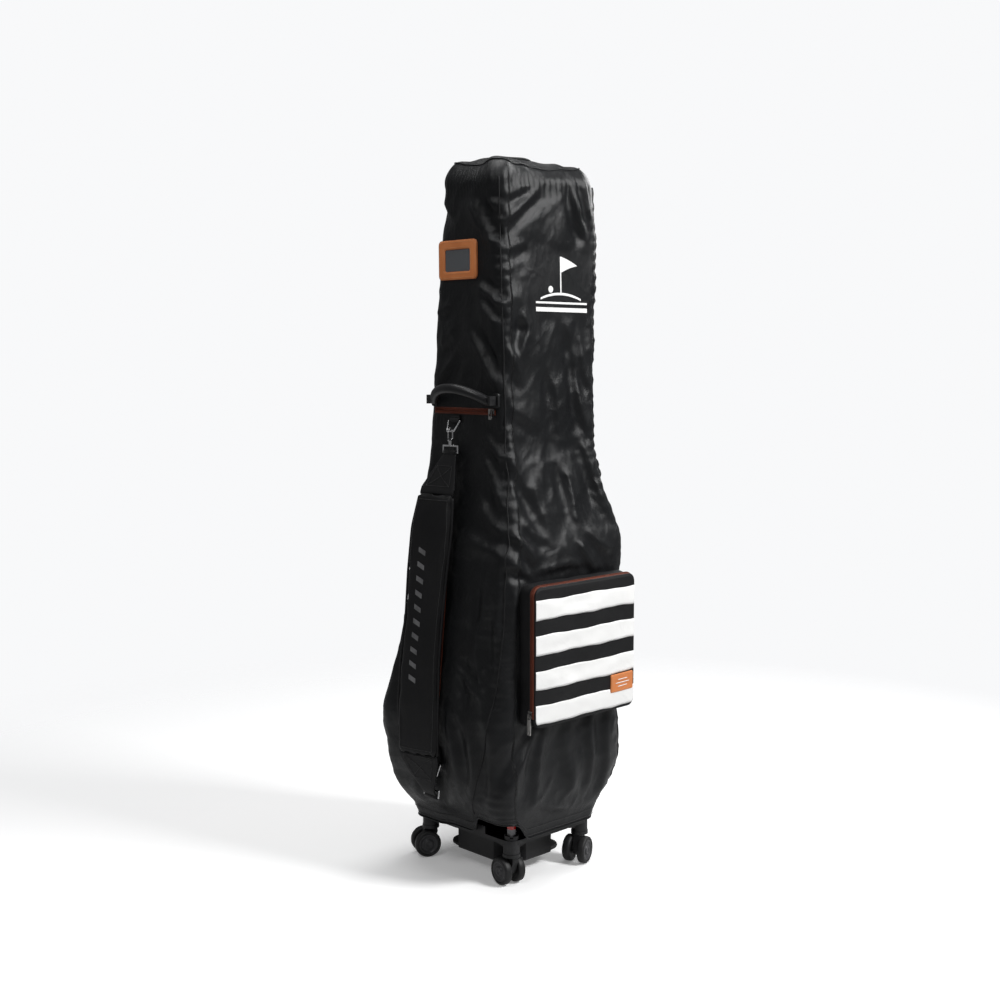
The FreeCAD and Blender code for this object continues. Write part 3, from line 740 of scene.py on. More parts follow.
TAN_THREAD = Finish(
    "Tan thread", (0.62, 0.30, 0.13), (0.70, 0.36, 0.17), 0.55, 0.05,
    relief=(grain(2500, 0.05),))
WHITE_INK = Finish(
    "White print", (0.80, 0.80, 0.79), (0.86, 0.86, 0.85), 0.55, 0.06, tone_scale=40.0,
    upright=True, relief=(woven(0.0012, 0.08),))
GREY_INK = Finish(
    "Grey print", (0.085, 0.085, 0.088), (0.16, 0.16, 0.165), 0.42, 0.08, specular=0.6, tone_scale=60.0,
    upright=True, relief=(woven(0.0012, 0.10),))


class FinishRack:
    """Makes each material once."""

    def __init__(self) -> None:
        """Starts with no materials."""
        self.made: Dict[str, Material] = {}

    def get(self, finish: Finish) -> Material:
        """The material of a finish."""
        if finish.name not in self.made:
            self.made[finish.name] = finish.build()
        return self.made[finish.name]


RACK = FinishRack()


# --------------------------------------------------------------------- cover


@dataclass(frozen=True)
class Fold:
    """A crease in the cover, from one point on a face to another.

    a and b are the first and last points as (across, height): across is x on
    the front and rear and y on the sides. rise is its height and width its
    half width, both in millimetres.
    """

    side: Side
    a: Pair
    b: Pair
    rise: float
    width: float


FOLD_TABLE: Dict[Side, Table] = {
    Side.LEFT: ((-38, 1228, -100, 1128, 4.5, 11), (-20, 1215, -62, 1160, 3.0, 10),
        (-41, 1072, -103, 1024, 4.5, 9), (-50, 1045, -103, 1000, 3.5, 8), (-20, 985, -104, 895, 5.5, 11),
        (16, 950, 66, 905, 4.0, 10), (10, 1005, 64, 965, 3.0, 11), (30, 1040, 68, 1020, 3.0, 9),
        (10, 1190, 52, 1235, 3.5, 11), (-70, 1180, -101, 1178, 2.5, 6), (-74, 1215, -101, 1208, 2.5, 6),
        (-74, 1150, -101, 1146, 2.5, 6), (-55, 820, -108, 760, 4.0, 11), (-40, 770, -118, 690, 4.5, 12),
        (-50, 700, -130, 640, 4.0, 12), (-30, 640, -140, 590, 3.5, 12), (-96, 560, -99, 310, 5.5, 14),
        (-99, 310, -66, 150, 5.0, 14), (-60, 560, -52, 470, 3.5, 12), (-24, 407, -102, 350, 4.5, 10),
        (-20, 380, -66, 290, 4.0, 11), (-30, 330, -40, 180, 5.0, 13), (-132, 548, -132, 455, 4.0, 10),
        (30, 250, 16, 120, 4.0, 15), (90, 330, 70, 130, 5.0, 18), (115, 520, 118, 340, 4.0, 16)),
    Side.FRONT: ((-108, 1178, -6, 1230, 5.0, 11), (-100, 1212, -30, 1238, 3.5, 9),
        (-104, 1120, -50, 1150, 3.0, 10), (66, 1258, 108, 1150, 5.0, 12), (84, 1262, 122, 1190, 4.0, 10),
        (98, 1150, 128, 1060, 4.0, 12), (44, 1012, 112, 800, 4.5, 12), (78, 1000, 120, 880, 4.0, 12),
        (-66, 1018, -40, 998, 3.5, 9), (-40, 998, -62, 940, 4.0, 10), (-98, 960, -52, 900, 3.5, 11),
        (-90, 870, -20, 820, 3.0, 12), (0, 930, 40, 770, 3.0, 15), (-96, 790, -60, 690, 4.0, 13),
        (70, 800, 140, 660, 4.5, 14), (20, 760, 60, 640, 3.5, 15), (-40, 740, -30, 620, 3.5, 15),
        (-132, 592, -78, 548, 4.5, 10), (-124, 640, -66, 584, 4.0, 10), (-96, 668, -20, 606, 3.5, 11),
        (34, 614, 86, 558, 4.0, 9), (60, 640, 128, 590, 3.5, 11), (-70, 572, 60, 569, 3.0, 7),
        (-80, 296, -142, 160, 5.5, 13), (-40, 290, -88, 150, 4.0, 14), (10, 290, 20, 140, 3.0, 16),
        (80, 292, 62, 150, 4.0, 15), (130, 290, 96, 130, 4.5, 15), (-60, 150, 40, 128, 3.0, 12)),
    Side.RIGHT: ((-60, 1200, 20, 1100, 5.0, 13), (-70, 1020, 10, 930, 5.0, 14),
        (-60, 860, 40, 760, 5.0, 15), (-100, 700, 20, 600, 5.5, 15), (40, 620, 90, 480, 4.5, 15),
        (-90, 560, -60, 360, 5.0, 16), (0, 520, -20, 300, 4.5, 18), (80, 420, 60, 180, 5.0, 16),
        (-70, 300, -40, 140, 4.5, 15), (10, 260, 20, 120, 4.0, 15)),
    Side.REAR: ((90, 1190, 10, 1080, 4.5, 14), (100, 1000, -20, 900, 4.5, 14), (110, 840, 0, 730, 5.0, 15),
        (130, 660, 30, 540, 5.0, 16), (20, 700, -40, 600, 4.0, 14), (120, 480, 80, 300, 5.0, 16),
        (20, 460, 0, 240, 4.5, 17), (70, 260, 60, 180, 4.0, 14)),
}
FOLDS = tuple(Fold(side, row[0:2], row[2:4], *row[4:]) for side, rows in FOLD_TABLE.items() for row in rows)


@dataclass(frozen=True)
class Still:
    """A place on the cover that lies flat, because something is sewn there."""

    side: Side
    box: Tuple[float, float, float, float]
    margin: float = 14.0


STILLS: Tuple[Still, ...] = (
    Still(Side.LEFT, (-47, 56, 1078, 1151)),
    Still(Side.LEFT, (-98, 82, 842, 884), 10.0),
    Still(Side.LEFT, (0, 32, 822, 845), 10.0),
    Still(Side.LEFT, (0, 32, 205, 248), 10.0),
    Still(Side.LEFT, (2, 24, 320, 605), 9.0),
    Still(Side.FRONT, (-109, 156, 299, 552), 10.0),
    Still(Side.REAR, (-84, -58, 160, 1240), 8.0),
    Still(Side.FRONT, (-34, 114, 1020, 1128), 20.0),
)


@dataclass
class Cover:
    """The nylon cover: one cut tube with a domed top, creased and draped."""

    levels: Table = (
        (85, -109, 109, -129, 129, 24), (112, -122, 122, -136, 145, 28), (145, -148, 142, -145, 157, 32),
        (200, -157, 160, -151, 162, 36), (300, -161, 163, -151, 161, 38), (420, -150, 165, -152, 135, 36),
        (618, -132, 177, -147, 115.2, 32), (700, -116, 143, -129, 107, 28), (784, -106, 131, -113, 98.6, 24),
        (960, -107.5, 134, -107, 81, 24), (1140, -110, 141, -102, 63, 24), (1250, -113, 127, -101, 52, 24))
    crown: Tuple[Pair, ...] = (
        (1257, 1.5), (1264, 4.0), (1271, 8.0), (1278, 13.5), (1283.5, 20.0), (1287.5, 28.0))
    zip_x: float = -67.0
    door_low: float = 165.0
    door_high: float = 1235.0
    counts: Tuple[int, ...] = (44, 10, 38, 10, 34, 10, 8, 36, 10)
    row_step: float = 6.0
    cloth: float = 1.4
    skin: Array = field(default_factory=lambda: np.zeros((0, 0, 3)))
    normals: Array = field(default_factory=lambda: np.zeros((0, 0, 3)))
    heights: Array = field(default_factory=lambda: np.zeros(0))
    tree: Optional[BVHTree] = None

    def sizes(self, z: float) -> Array:
        """Left, right, front, rear and corner radius at a height."""
        table = np.asarray(self.levels)
        return np.array([np.interp(z, table[:, 0], table[:, k]) for k in range(1, 6)])

    def ring(self, z: float, inset: float = 0.0) -> Array:
        """One row of the cover.

        Args:
            z: height on the tube, for its plan.
            inset: how far the plan is drawn in.

        Returns:
            Rows of x and y, starting after the front-left corner.
        """
        spread = [self.sizes(z + d) for d in (-16, -8, 0, 8, 16) if self.levels[0][0] <= z + d <= 1250]
        x0, x1, y0, y1, r = np.mean(spread, axis=0)
        x0, x1, y0, y1 = x0 + inset, x1 - inset, y0 + inset, y1 - inset
        f, c1, rt, c2, ra, rb, _, lf, c4 = self.counts
        c3 = self.counts[3]
        out: List[Pair] = []

        def straight(a: Pair, b: Pair, n: int) -> None:
            """Points from a up to but not including b."""
            out.extend((a[0] + (b[0] - a[0]) * k / n, a[1] + (b[1] - a[1]) * k / n) for k in range(n))

        def corner(cx: float, cy: float, start: float, n: int) -> None:
            """A quarter turn from a starting angle, without its last point."""
            for k in range(n):
                t = math.radians(start + 90.0 * k / n)
                out.append((cx + r * math.cos(t), cy + r * math.sin(t)))

        split = min(self.zip_x, x1 - r - 5)
        straight((x0 + r, y0), (x1 - r, y0), f)
        corner(x1 - r, y0 + r, -90, c1)
        straight((x1, y0 + r), (x1, y1 - r), rt)
        corner(x1 - r, y1 - r, 0, c2)
        straight((x1 - r, y1), (split, y1), ra)
        straight((split, y1), (x0 + r, y1), rb)
        corner(x0 + r, y1 - r, 90, c3)
        straight((x0, y1 - r), (x0, y0 + r), lf)
        corner(x0 + r, y0 + r, 180, c4)
        return np.asarray(out)

    def columns(self) -> Dict[str, int]:
        """Column numbers of the seams and of the middle of each corner."""
        f, c1, rt, c2, ra, rb, _, lf, c4 = self.counts
        c3 = self.counts[3]
        marks = {"front_right": f + c1 // 2}
        marks["hinge"] = f + c1 + rt + c2 // 2
        marks["zip"] = f + c1 + rt + c2 + ra
        marks["rear_left"] = marks["zip"] + rb + c3 // 2
        marks["front_left"] = marks["zip"] + rb + c3 + lf + c4 // 2
        marks["all"] = marks["zip"] + rb + c3 + lf + c4
        return marks

    def lay_out(self) -> None:
        """Cuts the tube: fills the skin grid before any folds."""
        parts = [np.arange(85, self.door_low, self.row_step),
                 np.arange(self.door_low, self.door_high, self.row_step),
                 np.array([self.door_high, 1240.0, 1245.0, 1250.0])]
        self.heights = np.unique(np.concatenate(parts))
        if self.door_high - self.heights[-5] < 2.5:
            self.heights = np.delete(self.heights, -5)
        rows = [np.column_stack([self.ring(z), np.full(len(self.ring(z)), z)]) for z in self.heights]
        for z, inset in self.crown:
            ring = self.ring(1250, inset)
            rows.append(np.column_stack([ring, np.full(len(ring), z)]))
        middle = rows[-1].mean(0)
        last = rows[-1]
        for k in range(1, 13):
            share = 1 - k / 12.0
            ring = middle + (last - middle) * max(share, 0.012)
            ring[:, 2] = self.crown[-1][0] + 3.5 * math.sin(math.pi / 2 * (1 - share))
            rows.append(ring)
        self.skin = np.asarray(rows)
        self._shape_hem()

    def _shape_hem(self) -> None:
        """Lifts the hem over the front-left caster, along the cut of the cloth."""
        rows = len(self.heights)
        flat = self.skin[:rows].copy()
        x, y = flat[0, :, 0], flat[0, :, 1]
        lift = 38.0 * smooth_step(-38, -64, y) * smooth_step(-70, -92, x)
        dip = -6.0 * smooth_step(10, 60, y) * smooth_step(-80, -105, x)
        for j, z in enumerate(self.heights):
            share = float(np.clip((190.0 - z) / 105.0, 0.0, 1.0))
            want = z + (lift + dip) * share
            for k in range(flat.shape[1]):
                self.skin[j, k, 0] = np.interp(want[k], self.heights, flat[:, k, 0])
                self.skin[j, k, 1] = np.interp(want[k], self.heights, flat[:, k, 1])
            self.skin[j, :, 2] = want

    def measure(self, skin: Array) -> Array:
        """Outward normals of a skin grid."""
        across = np.roll(skin, -1, 1) - np.roll(skin, 1, 1)
        up = np.gradient(skin, axis=0)
        return unit(np.cross(across, up))

    def facing(self, side: Side) -> Array:
        """How far each point looks towards a side, from 0 to 1."""
        return smooth_step(0.25, 0.7, self.normals @ np.asarray(side.value))

    def across(self, side: Side) -> Array:
        """Each point's coordinate across a side."""
        return self.skin[:, :, 0] if side in (Side.FRONT, Side.REAR) else self.skin[:, :, 1]

    def quiet(self) -> Array:
        """Share of movement that each point is allowed, 0 where sewn down."""
        calm = np.ones(self.skin.shape[:2])
        z = self.skin[:, :, 2]
        for still in STILLS:
            a0, a1, z0, z1 = still.box
            u = self.across(still.side)
            m = still.margin
            inside = smooth_step(a0 - m, a0, u) * smooth_step(a1 + m, a1, u)
            inside = inside * smooth_step(z0 - m, z0, z) * smooth_step(z1 + m, z1, z)
            inside = inside * self.facing(still.side)
            calm *= 1.0 - 0.96 * inside
        calm *= 0.12 + 0.88 * smooth_step(88, 135, z)
        marks = self.columns()
        index = np.arange(self.skin.shape[1])
        for name in ("hinge", "zip"):
            gap = np.abs(index - marks[name])
            calm *= (0.25 + 0.75 * smooth_step(0, 4, gap))[None, :]
        return calm

    def crease(self) -> Array:
        """Relief of the planned folds and of the loose cloth between them.

        Returns:
            Outward movement of each point in millimetres.
        """
        move = np.zeros(self.skin.shape[:2])
        z = self.skin[:, :, 2]
        for fold in FOLDS:
            a = np.asarray(fold.a, float)
            b = np.asarray(fold.b, float)
            d = b - a
            long = float(np.linalg.norm(d))
            d /= long
            u = self.across(fold.side) - a[0]
            v = z - a[1]
            along = u * d[0] + v * d[1]
            bend = fold.width * 0.7 * np.sin(along / 37.0 + a[0])
            off = u * d[1] - v * d[0] + bend
            ends = smooth_step(-0.12 * long, 0.3 * long, along) * smooth_step(1.12 * long, 0.7 * long, along)
            near = np.where(off > 0, off / (0.55 * fold.width), off / (1.25 * fold.width))
            ridge = np.exp(-np.abs(near) ** 1.5) - 0.8 * hump(off, 1.5 * fold.width, fold.width)
            move += 1.35 * fold.rise * ridge * ends * self.facing(fold.side)
        flat = self.skin.reshape(-1, 3)
        lean = np.column_stack([flat[:, 0] - 0.45 * flat[:, 2], flat[:, 1] + 0.45 * flat[:, 2],
                                0.75 * flat[:, 2]])
        swell = wander(lean, 74.0, 3.1) * 4.2 + wander(lean * np.array([1.0, 1.0, 1.2]), 30.0, 8.7) * 1.0
        for size, seed, rise in ((46.0, 15.3, 1.5), (23.0, 27.9, 0.8)):
            pinch = 1.0 - np.abs(wander(lean, size, seed)) * 4.5
            swell += np.clip(pinch, 0, 1) ** 2 * rise
        move += swell.reshape(move.shape)
        return move

    def pucker(self) -> Array:
        """Small gathers along the sewn seams.

        Returns:
            Outward movement in millimetres.
        """
        marks = self.columns()
        index = np.arange(self.skin.shape[1])
        z = self.skin[:, :, 2]
        move = np.zeros(self.skin.shape[:2])
        for name, pitch in (("front_left", 17.0), ("front_right", 19.0), ("hinge", 21.0)):
            near = np.exp(-((index - marks[name]) / 7.0) ** 2)[None, :]
            wave = np.sin(z / pitch * 2 * math.pi + 1.3 * np.sin(z / 31.0)) * (0.6 + 0.4 * np.sin(z / 53.0))
            move += near * wave * 1.3
        top = hump(z, 1246, 16.0)
        run = index[None, :] * 5.5
        move += top * np.sin(run / 15.0 * 2 * math.pi + 2 * np.sin(run / 40.0)) * 1.2
        slot = hump(z, 830, 9.0) * self.facing(Side.LEFT)
        y = self.skin[:, :, 1]
        move += slot * np.sin(y / 9.0 * 2 * math.pi + np.sin(y / 17.0)) * 1.6
        pocket = hump(z, 566, 9.0) * self.facing(Side.FRONT)
        x = self.skin[:, :, 0]
        move += pocket * np.sin(x / 19.0 * 2 * math.pi + 2 * np.sin(x / 41.0)) * 1.2
        return move

    def sag_top(self) -> None:
        """Dents the crown and fills out the hood, the hip and the seat."""
        x, y, z = self.skin[:, :, 0], self.skin[:, :, 1], self.skin[:, :, 2]
        top = smooth_step(1235, 1285, z)
        dent = -13.0 * hump(x, -48, 24.0) * hump(y, 8, 52.0)
        dent += -7.0 * hump(x, 70, 36.0) * hump(y, -28, 34.0)
        dent += 5.0 * smooth_step(60, 112, x) - 1.0
        dent += 3.0 * smooth_step(-60, -105, x) + 6.0 * hump(x, -92, 20.0) * hump(y, 30, 26.0)
        ripple = wander(np.stack([x, y, z * 0], -1).reshape(-1, 3), 30.0, 5.5).reshape(x.shape) * 6.0
        self.skin[:, :, 2] += top * (dent + ripple)
        hood = hump(z, 1205, 62.0) * smooth_step(60, 130, x)
        self.skin[:, :, 0] += 11.0 * hood
        hip = hump(z, 295, 135.0) * smooth_step(-100, -150, x) * smooth_step(70, 125, y)
        self.skin[:, :, 0] -= 16.0 * hip
        self.skin[:, :, 1] += 5.0 * hip
        seat = hump(z, 205, 75.0) * smooth_step(100, 150, x)
        self.skin[:, :, 0] += 11.0 * seat

    def drape(self) -> None:
        """Lets the cloth hang and buckle: a short cloth simulation of the skin.

        The hem, seams and sewn-on places are held. The result is kept within
        a few millimetres of the cut shape.
        """
        rows, cols = self.skin.shape[:2]
        js = np.arange(0, rows - 8, 2)
        ks = np.arange(0, cols, 2)
        coarse = self.skin[np.ix_(js, ks)]
        calm = self.quiet()[np.ix_(js, ks)]
        mesh = bpy.data.meshes.new("drape")
        mesh.from_pydata(place(coarse.reshape(-1, 3)).tolist(), [], grid_faces(len(js), len(ks), True))
        obj = bpy.data.objects.new("drape", mesh)
        bpy.context.scene.collection.objects.link(obj)
        hold = np.clip(1.0 - calm, 0, 1)
        hold = np.where(hold > 0.55, 1.0, hold * 0.35)
        hold[0] = 1.0
        hold[-1] = 1.0
        marks = self.columns()
        for name in ("zip", "hinge", "front_right", "front_left"):
            k = int(round(marks[name] / 2)) % len(ks)
            hold[:, k] = np.maximum(hold[:, k], 0.55)
        group = obj.vertex_groups.new(name="hold")
        for i, w in enumerate(hold.ravel()):
            group.add([i], float(w), "REPLACE")
        ends = run_cloth(obj, 26, 0.6, mass=0.12, tension_stiffness=22, compression_stiffness=22,
                         shear_stiffness=9, bending_stiffness=0.18, air_damping=2.0, shrink_min=-0.035,
                         vertex_group_mass="hold", pin_stiffness=1.0)
        moved = unplace(ends).reshape(coarse.shape) - coarse
        bpy.data.objects.remove(obj)
        normal = self.normals[np.ix_(js, ks)]
        out = np.sum(moved * normal, axis=2)
        slide = moved - out[:, :, None] * normal
        out = np.clip(out, -9.0, 7.0)
        size = np.linalg.norm(slide, axis=2)[:, :, None] + 1e-9
        slide = slide * np.minimum(1.0, 6.0 / size)
        LOG.info("drape moved points by %.1f mm at most", float(np.abs(out).max()))
        total = out[:, :, None] * normal * 0.5 + slide * 0.4
        for _ in range(2):
            beside = (np.roll(total, 1, 1) + np.roll(total, -1, 1)) / 2
            above = np.concatenate([total[:1], total[:-1]])
            below = np.concatenate([total[1:], total[-1:]])
            total = 0.5 * total + 0.25 * beside + 0.125 * (above + below)
        full = np.zeros_like(self.skin)
        for axis in range(3):
            wide = np.empty((len(js), cols))
            for j in range(len(js)):
                wide[j] = np.interp(np.arange(cols), np.append(ks, cols), np.append(total[j, :, axis],
                                                                                    total[j, 0, axis]))
            for k in range(cols):
                full[:, k, axis] = np.interp(np.arange(rows), js, wide[:, k], right=0.0)
        fade = smooth_step(rows - 6, rows - 14, np.arange(rows))[:, None, None]
        self.skin = self.skin + full * fade

    def settle(self) -> None:
        """Cuts, creases and drapes the skin, and readies it for measuring."""
        self.lay_out()
        self.normals = self.measure(self.skin)
        self.sag_top()
        self.normals = self.measure(self.skin)
        self.drape()
        self.normals = self.measure(self.skin)
        calm = self.quiet()
        top_calm = 1.0 - 0.6 * smooth_step(1250, 1285, self.skin[:, :, 2])
        move = np.clip((self.crease() + self.pucker()) * calm * top_calm, -8.0, 9.0)
        self.skin = self.skin + self.normals * move[:, :, None]
        self.normals = self.measure(self.skin)
        flat = place(self.skin.reshape(-1, 3))
        self.tree = BVHTree.FromPolygons([Vector(p) for p in flat], grid_faces(*self.skin.shape[:2], True))

    def on(self, side: Side, points: Sequence[Pair], lift: float = 0.5) -> Array:
        """Puts points on the cover as seen from one side.

        Args:
            side: side to look from.
            points: rows of (across, height), or (x, y) for the top.
            lift: distance above the cloth in millimetres.

        Returns:
            Rows of x, y, z in millimetres.
        """
        look = np.asarray(side.value)
        out = []
        for a, b in points:
            if side in (Side.FRONT, Side.REAR):
                start = np.array([a, 0.0, b])
            elif side is Side.TOP:
                start = np.array([a, b, 0.0])
            else:
                start = np.array([0.0, a, b])
            start = start + look * (1500.0 if side is Side.TOP else 420.0)
            hit, normal, _, _ = self.tree.ray_cast(Vector(place([start])[0]), Vector(-look), 2.0)
            if hit is None:
                hit, normal, _, _ = self.tree.find_nearest(Vector(place([start - look * 270.0])[0]))
            n = np.asarray(normal)
            if n @ look < 0:
                n = -n
            out.append(unplace(np.asarray(hit)) + n * lift)
        return np.asarray(out)

    def column_path(self, name: str, low: float, high: float, lift: float = 0.4) -> Array:
        """A path up a seam column."""
        k = self.columns()[name] % self.skin.shape[1]
        rows = [j for j, z in enumerate(self.heights) if low <= z <= high]
        return self.skin[rows, k] + self.normals[rows, k] * lift

    def build(self) -> None:
        """Makes the fixed cover, the rear door, the seams and the hem."""
        rows, cols = self.skin.shape[:2]
        marks = self.columns()
        faces = grid_faces(rows, cols, True)
        low = int(np.argmin(np.abs(self.heights - self.door_low)))
        high = int(np.argmin(np.abs(self.heights - self.door_high)))
        door: List[Face] = []
        case: List[Face] = []
        for n, quad in enumerate(faces):
            j, k = divmod(n, cols)
            inside = low <= j < high and marks["hinge"] <= k < marks["zip"]
            (door if inside else case).append(quad)
        end = (rows - 1) * cols
        case.append(tuple(end + k for k in range(cols)))
        verts = self.skin.reshape(-1, 3)
        run = lengths(self.skin[34])
        uvs = np.stack([np.broadcast_to(run, (rows, cols)), self.skin[:, :, 2]], -1).reshape(-1, 2) * MM
        for name, chosen, body, nodes in (
                ("cover_shell", case, Body.CASE, ("front_panel", "left_panel", "right_panel", "rear_border",
                                                  "top_panel")),
                ("cover_door", door, Body.DOOR, ("rear_flap",))):
            used = np.unique(np.concatenate([np.asarray(f) for f in chosen]))
            renumber = {int(old): new for new, old in enumerate(used)}
            kept = [tuple(renumber[i] for i in f) for f in chosen]
            ride = body.value if body is Body.CASE else ""
            obj = make_piece(name, verts[used], kept, NYLON, ride, uvs[used])
            thicken(obj, self.cloth)
            soften(obj)
            if body is Body.DOOR:
                self._bend(obj)
            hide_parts(*nodes)
        self._seams()
        self._hem()

    def _seams(self) -> None:
        """Sewn welts along the seams, and the binding of the rear opening."""
        welts = Sheaf()
        points = [(-101, 1232), (-102, 1142), (-103, 1041), (-106, 955), (-108, 869),
                  (-112, 783), (-128, 698),
                  (-143, 614), (-140, 527), (-134, 388), (-117, 280), (-84, 170), (-62, 128)]
        seam = relax(resample(points, 5.0), 12)
        kept = [(max(y, float(np.dot(self.sizes(z), (0, 0, 1, 0, 0.4)))), z) for y, z in seam]
        where = self.on(Side.LEFT, kept, 0.5)
        where = where[where[:, 0] < -70]
        corner = self.column_path("front_left", 790, 1250)
        low = where[where[:, 2] < 770]
        path = relax(np.vstack([low[::-1], corner]), 6)
        welts.tube(path, 1.15)
        for name, start in (("front_right", 100.0), ("hinge", 100.0)):
            welts.tube(self.column_path(name, start, 1250, 0.8 if name == "hinge" else 0.3), 1.1)
        brim = len(self.heights) + 3
        welts.tube(self.skin[brim] + self.normals[brim] * 0.3, 1.0, closed=True)
        welts.build("cover_seams", WEBBING, "nylon", Body.CASE.value)
        bound = Sheaf()
        marks = self.columns()
        low_row = int(np.argmin(np.abs(self.heights - self.door_low)))
        high_row = int(np.argmin(np.abs(self.heights - self.door_high)))
        for j in (low_row, high_row):
            cols = range(marks["hinge"] + 1, marks["zip"])
            edge = np.asarray([self.skin[j, k] + self.normals[j, k] * 0.6 for k in cols])
            shift = 3.5 if j == low_row else -3.5
            edge[:, 2] += shift
            bound.tube(edge, 1.6, flat=0.6)
        edge = self.column_path("zip", self.door_low + 3, self.door_high - 3, 0.6)
        edge[:, 0] += 3.0
        bound.tube(edge, 1.6, flat=0.6)
        self._bend(bound.build("door_binding", WEBBING, "nylon", ""))

    def _bend(self, obj: Piece) -> None:
        """Bakes the placement of a rear door cloth piece into its mesh."""
        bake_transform(obj)

    def _hem(self) -> None:
        """Turned hem with two rows of stitches."""
        roll = Sheaf()
        base = self.skin[0]
        roll.tube(relax(base + self.normals[0] * 0.1, 2, True), 1.7, 8, True)
        roll.build("hem_roll", NYLON, "nylon", Body.CASE.value)
        rows = Sheaf()
        for j in (1, 3):
            ring = self.skin[j] + self.normals[j] * 0.9
            stitches(rows, resample(ring, 2.0, True), 4.0, 2.6, 0.42)
        rows.build("hem_stitches", THREAD, "nylon", Body.CASE.value)


def stitches(sheaf: Sheaf, path: Array, pitch: float, length: float, radius: float) -> None:
    """Adds a row of thread stitches along a path."""
    along = lengths(path)
    for start in np.arange(0, along[-1] - length, pitch):
        sheaf.tube(sample(np.linspace(start, start + length, 3), along, path), radius, 5)


# ---------------------------------------------------------------- small parts


def ribbon(path: Array, normals: Array, profile: Sequence[Pair]) -> Array:
    """Sweeps a flat profile along a path on a surface."""
    side = unit(np.cross(normals, unit(np.gradient(path, axis=0))))
    return np.stack([path + side * a + normals * b for a, b in profile], 1)


def matched_outline(x0: float, x1: float, y0: float, y1: float, r: float, turns: int = 6,
                    runs: int = 8) -> Array:
    """Rounded rectangle whose points match another's one for one.

    Args:
        x0: low first coordinate.
        x1: high first coordinate.
        y0: low second coordinate.
        y1: high second coordinate.
        r: corner radius.
        turns: points in a corner.
        runs: points on a side.

    Returns:
        Rows of two coordinates.
    """
    pts: List[Pair] = []
    centres = ((x1 - r, y0 + r, -90), (x1 - r, y1 - r, 0), (x0 + r, y1 - r, 90), (x0 + r, y0 + r, 180))
    for n, (cx, cy, a) in enumerate(centres):
        arc = [(cx + r * math.cos(math.radians(a + 90 * k / turns)),
                cy + r * math.sin(math.radians(a + 90 * k / turns)))
               for k in range(turns + 1)]
        pts.extend(arc)
        nx, ny, na = centres[(n + 1) % 4]
        nxt = (nx + r * math.cos(math.radians(na)), ny + r * math.sin(math.radians(na)))
        last = arc[-1]
        pts.extend((last[0] + (nxt[0] - last[0]) * k / runs, last[1] + (nxt[1] - last[1]) * k / runs)
                   for k in range(1, runs))
    return np.asarray(pts)


def stack_rings(rings: Sequence[Array], cap: bool = False) -> Tuple[Array, List[Face]]:
    """Joins closed rings one after another.

    Args:
        rings: rows of points with the same count.
        cap: whether the last ring is filled.

    Returns:
        Vertices and faces.
    """
    grid = np.asarray(rings)
    faces = grid_faces(len(rings), grid.shape[1], True)
    verts = grid.reshape(-1, 3)
    if cap:
        start = (len(rings) - 1) * grid.shape[1]
        verts = np.vstack([verts, grid[-1].mean(0)])
        count = grid.shape[1]
        faces += [(start + k, start + (k + 1) % count, len(verts) - 1) for k in range(count)]
    return verts, faces


@dataclass
class ZipRun:
    """A length of zip: woven tape with a nylon coil down its middle."""

    name: str
    path: Array
    normals: Array
    width: float
    body: Body
    node: str
    lift: float = 0.7

    def build(self) -> None:
        """Makes the tape and its coil."""
        h = self.width / 2
        profile = ((-h, 0.1), (-h, self.lift), (-h * 0.45, self.lift + 0.15), (-0.9, self.lift + 0.5),
                   (0.9, self.lift + 0.5), (h * 0.45, self.lift + 0.15), (h, self.lift), (h, 0.1))
        sheaf = Sheaf()
        sheaf.grid(ribbon(self.path, self.normals, profile))
        tape = sheaf.build(self.name + "_tape", RUST_TAPE, "rust_tape", self.body.value)
        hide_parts(self.node)
        along = lengths(self.path)
        coil = Sheaf()
        side = np.cross(self.normals, unit(np.gradient(self.path, axis=0)))
        for n, at in enumerate(np.arange(1.5, along[-1] - 1.5, 2.1)):
            p, s, o = (sample(at, along, rows) for rows in (self.path, side, self.normals))
            lean = 0.6 if n % 2 else -0.6
            mid = p + o * (self.lift + 1.0)
            coil.tube(np.array([mid - s * 2.1 + s * lean, mid + o * 0.35, mid + s * 2.1 + s * lean]), 0.62, 6)
        coil.build(self.name + "_coil", RUST_COIL, "rust_tape", self.body.value)
        seam = Sheaf()
        for a in (-h + 1.1, h - 1.1):
            line = ribbon(self.path, self.normals, ((a, self.lift + 0.35),))[:, 0]
            stitches(seam, resample(line, 2.0), 3.6, 2.4, 0.3)
        seam.build(self.name + "_stitches", THREAD, "rust_tape", self.body.value)


@dataclass
class Zips:
    """The hand-slot zip, the side zip and the rear zip on the cover."""

    cover: Cover

    def build(self) -> None:
        """Makes the three zips."""
        slot = self.cover.on(Side.LEFT, [(y, 848.2) for y in np.arange(-88, 73, 4.0)], 0.0)
        self._run("slot_zip", relax(slot, 4), Side.LEFT, 11.5, "slot_zipper")
        side = self.cover.on(Side.LEFT, [(12.0, z) for z in np.arange(322, 600, 6.0)], 0.0)
        self._run("side_zip", relax(side, 4), Side.LEFT, 13.0, "side_zipper")
        rear = self.cover.on(Side.REAR, [(-74.6, z) for z in np.arange(432, 1216, 8.0)], 0.0)
        self._run("rear_zip", relax(rear, 4), Side.REAR, 11.5, "rear_zipper")

    def _run(self, name: str, path: Array, side: Side, width: float, node: str) -> None:
        """Builds one zip on a face of the cover."""
        look = np.asarray(side.value)
        ahead = unit(np.gradient(path, axis=0))
        normals = unit(look - ahead * (ahead @ look)[:, None])
        ZipRun(name, path, normals, width, Body.CASE, node).build()


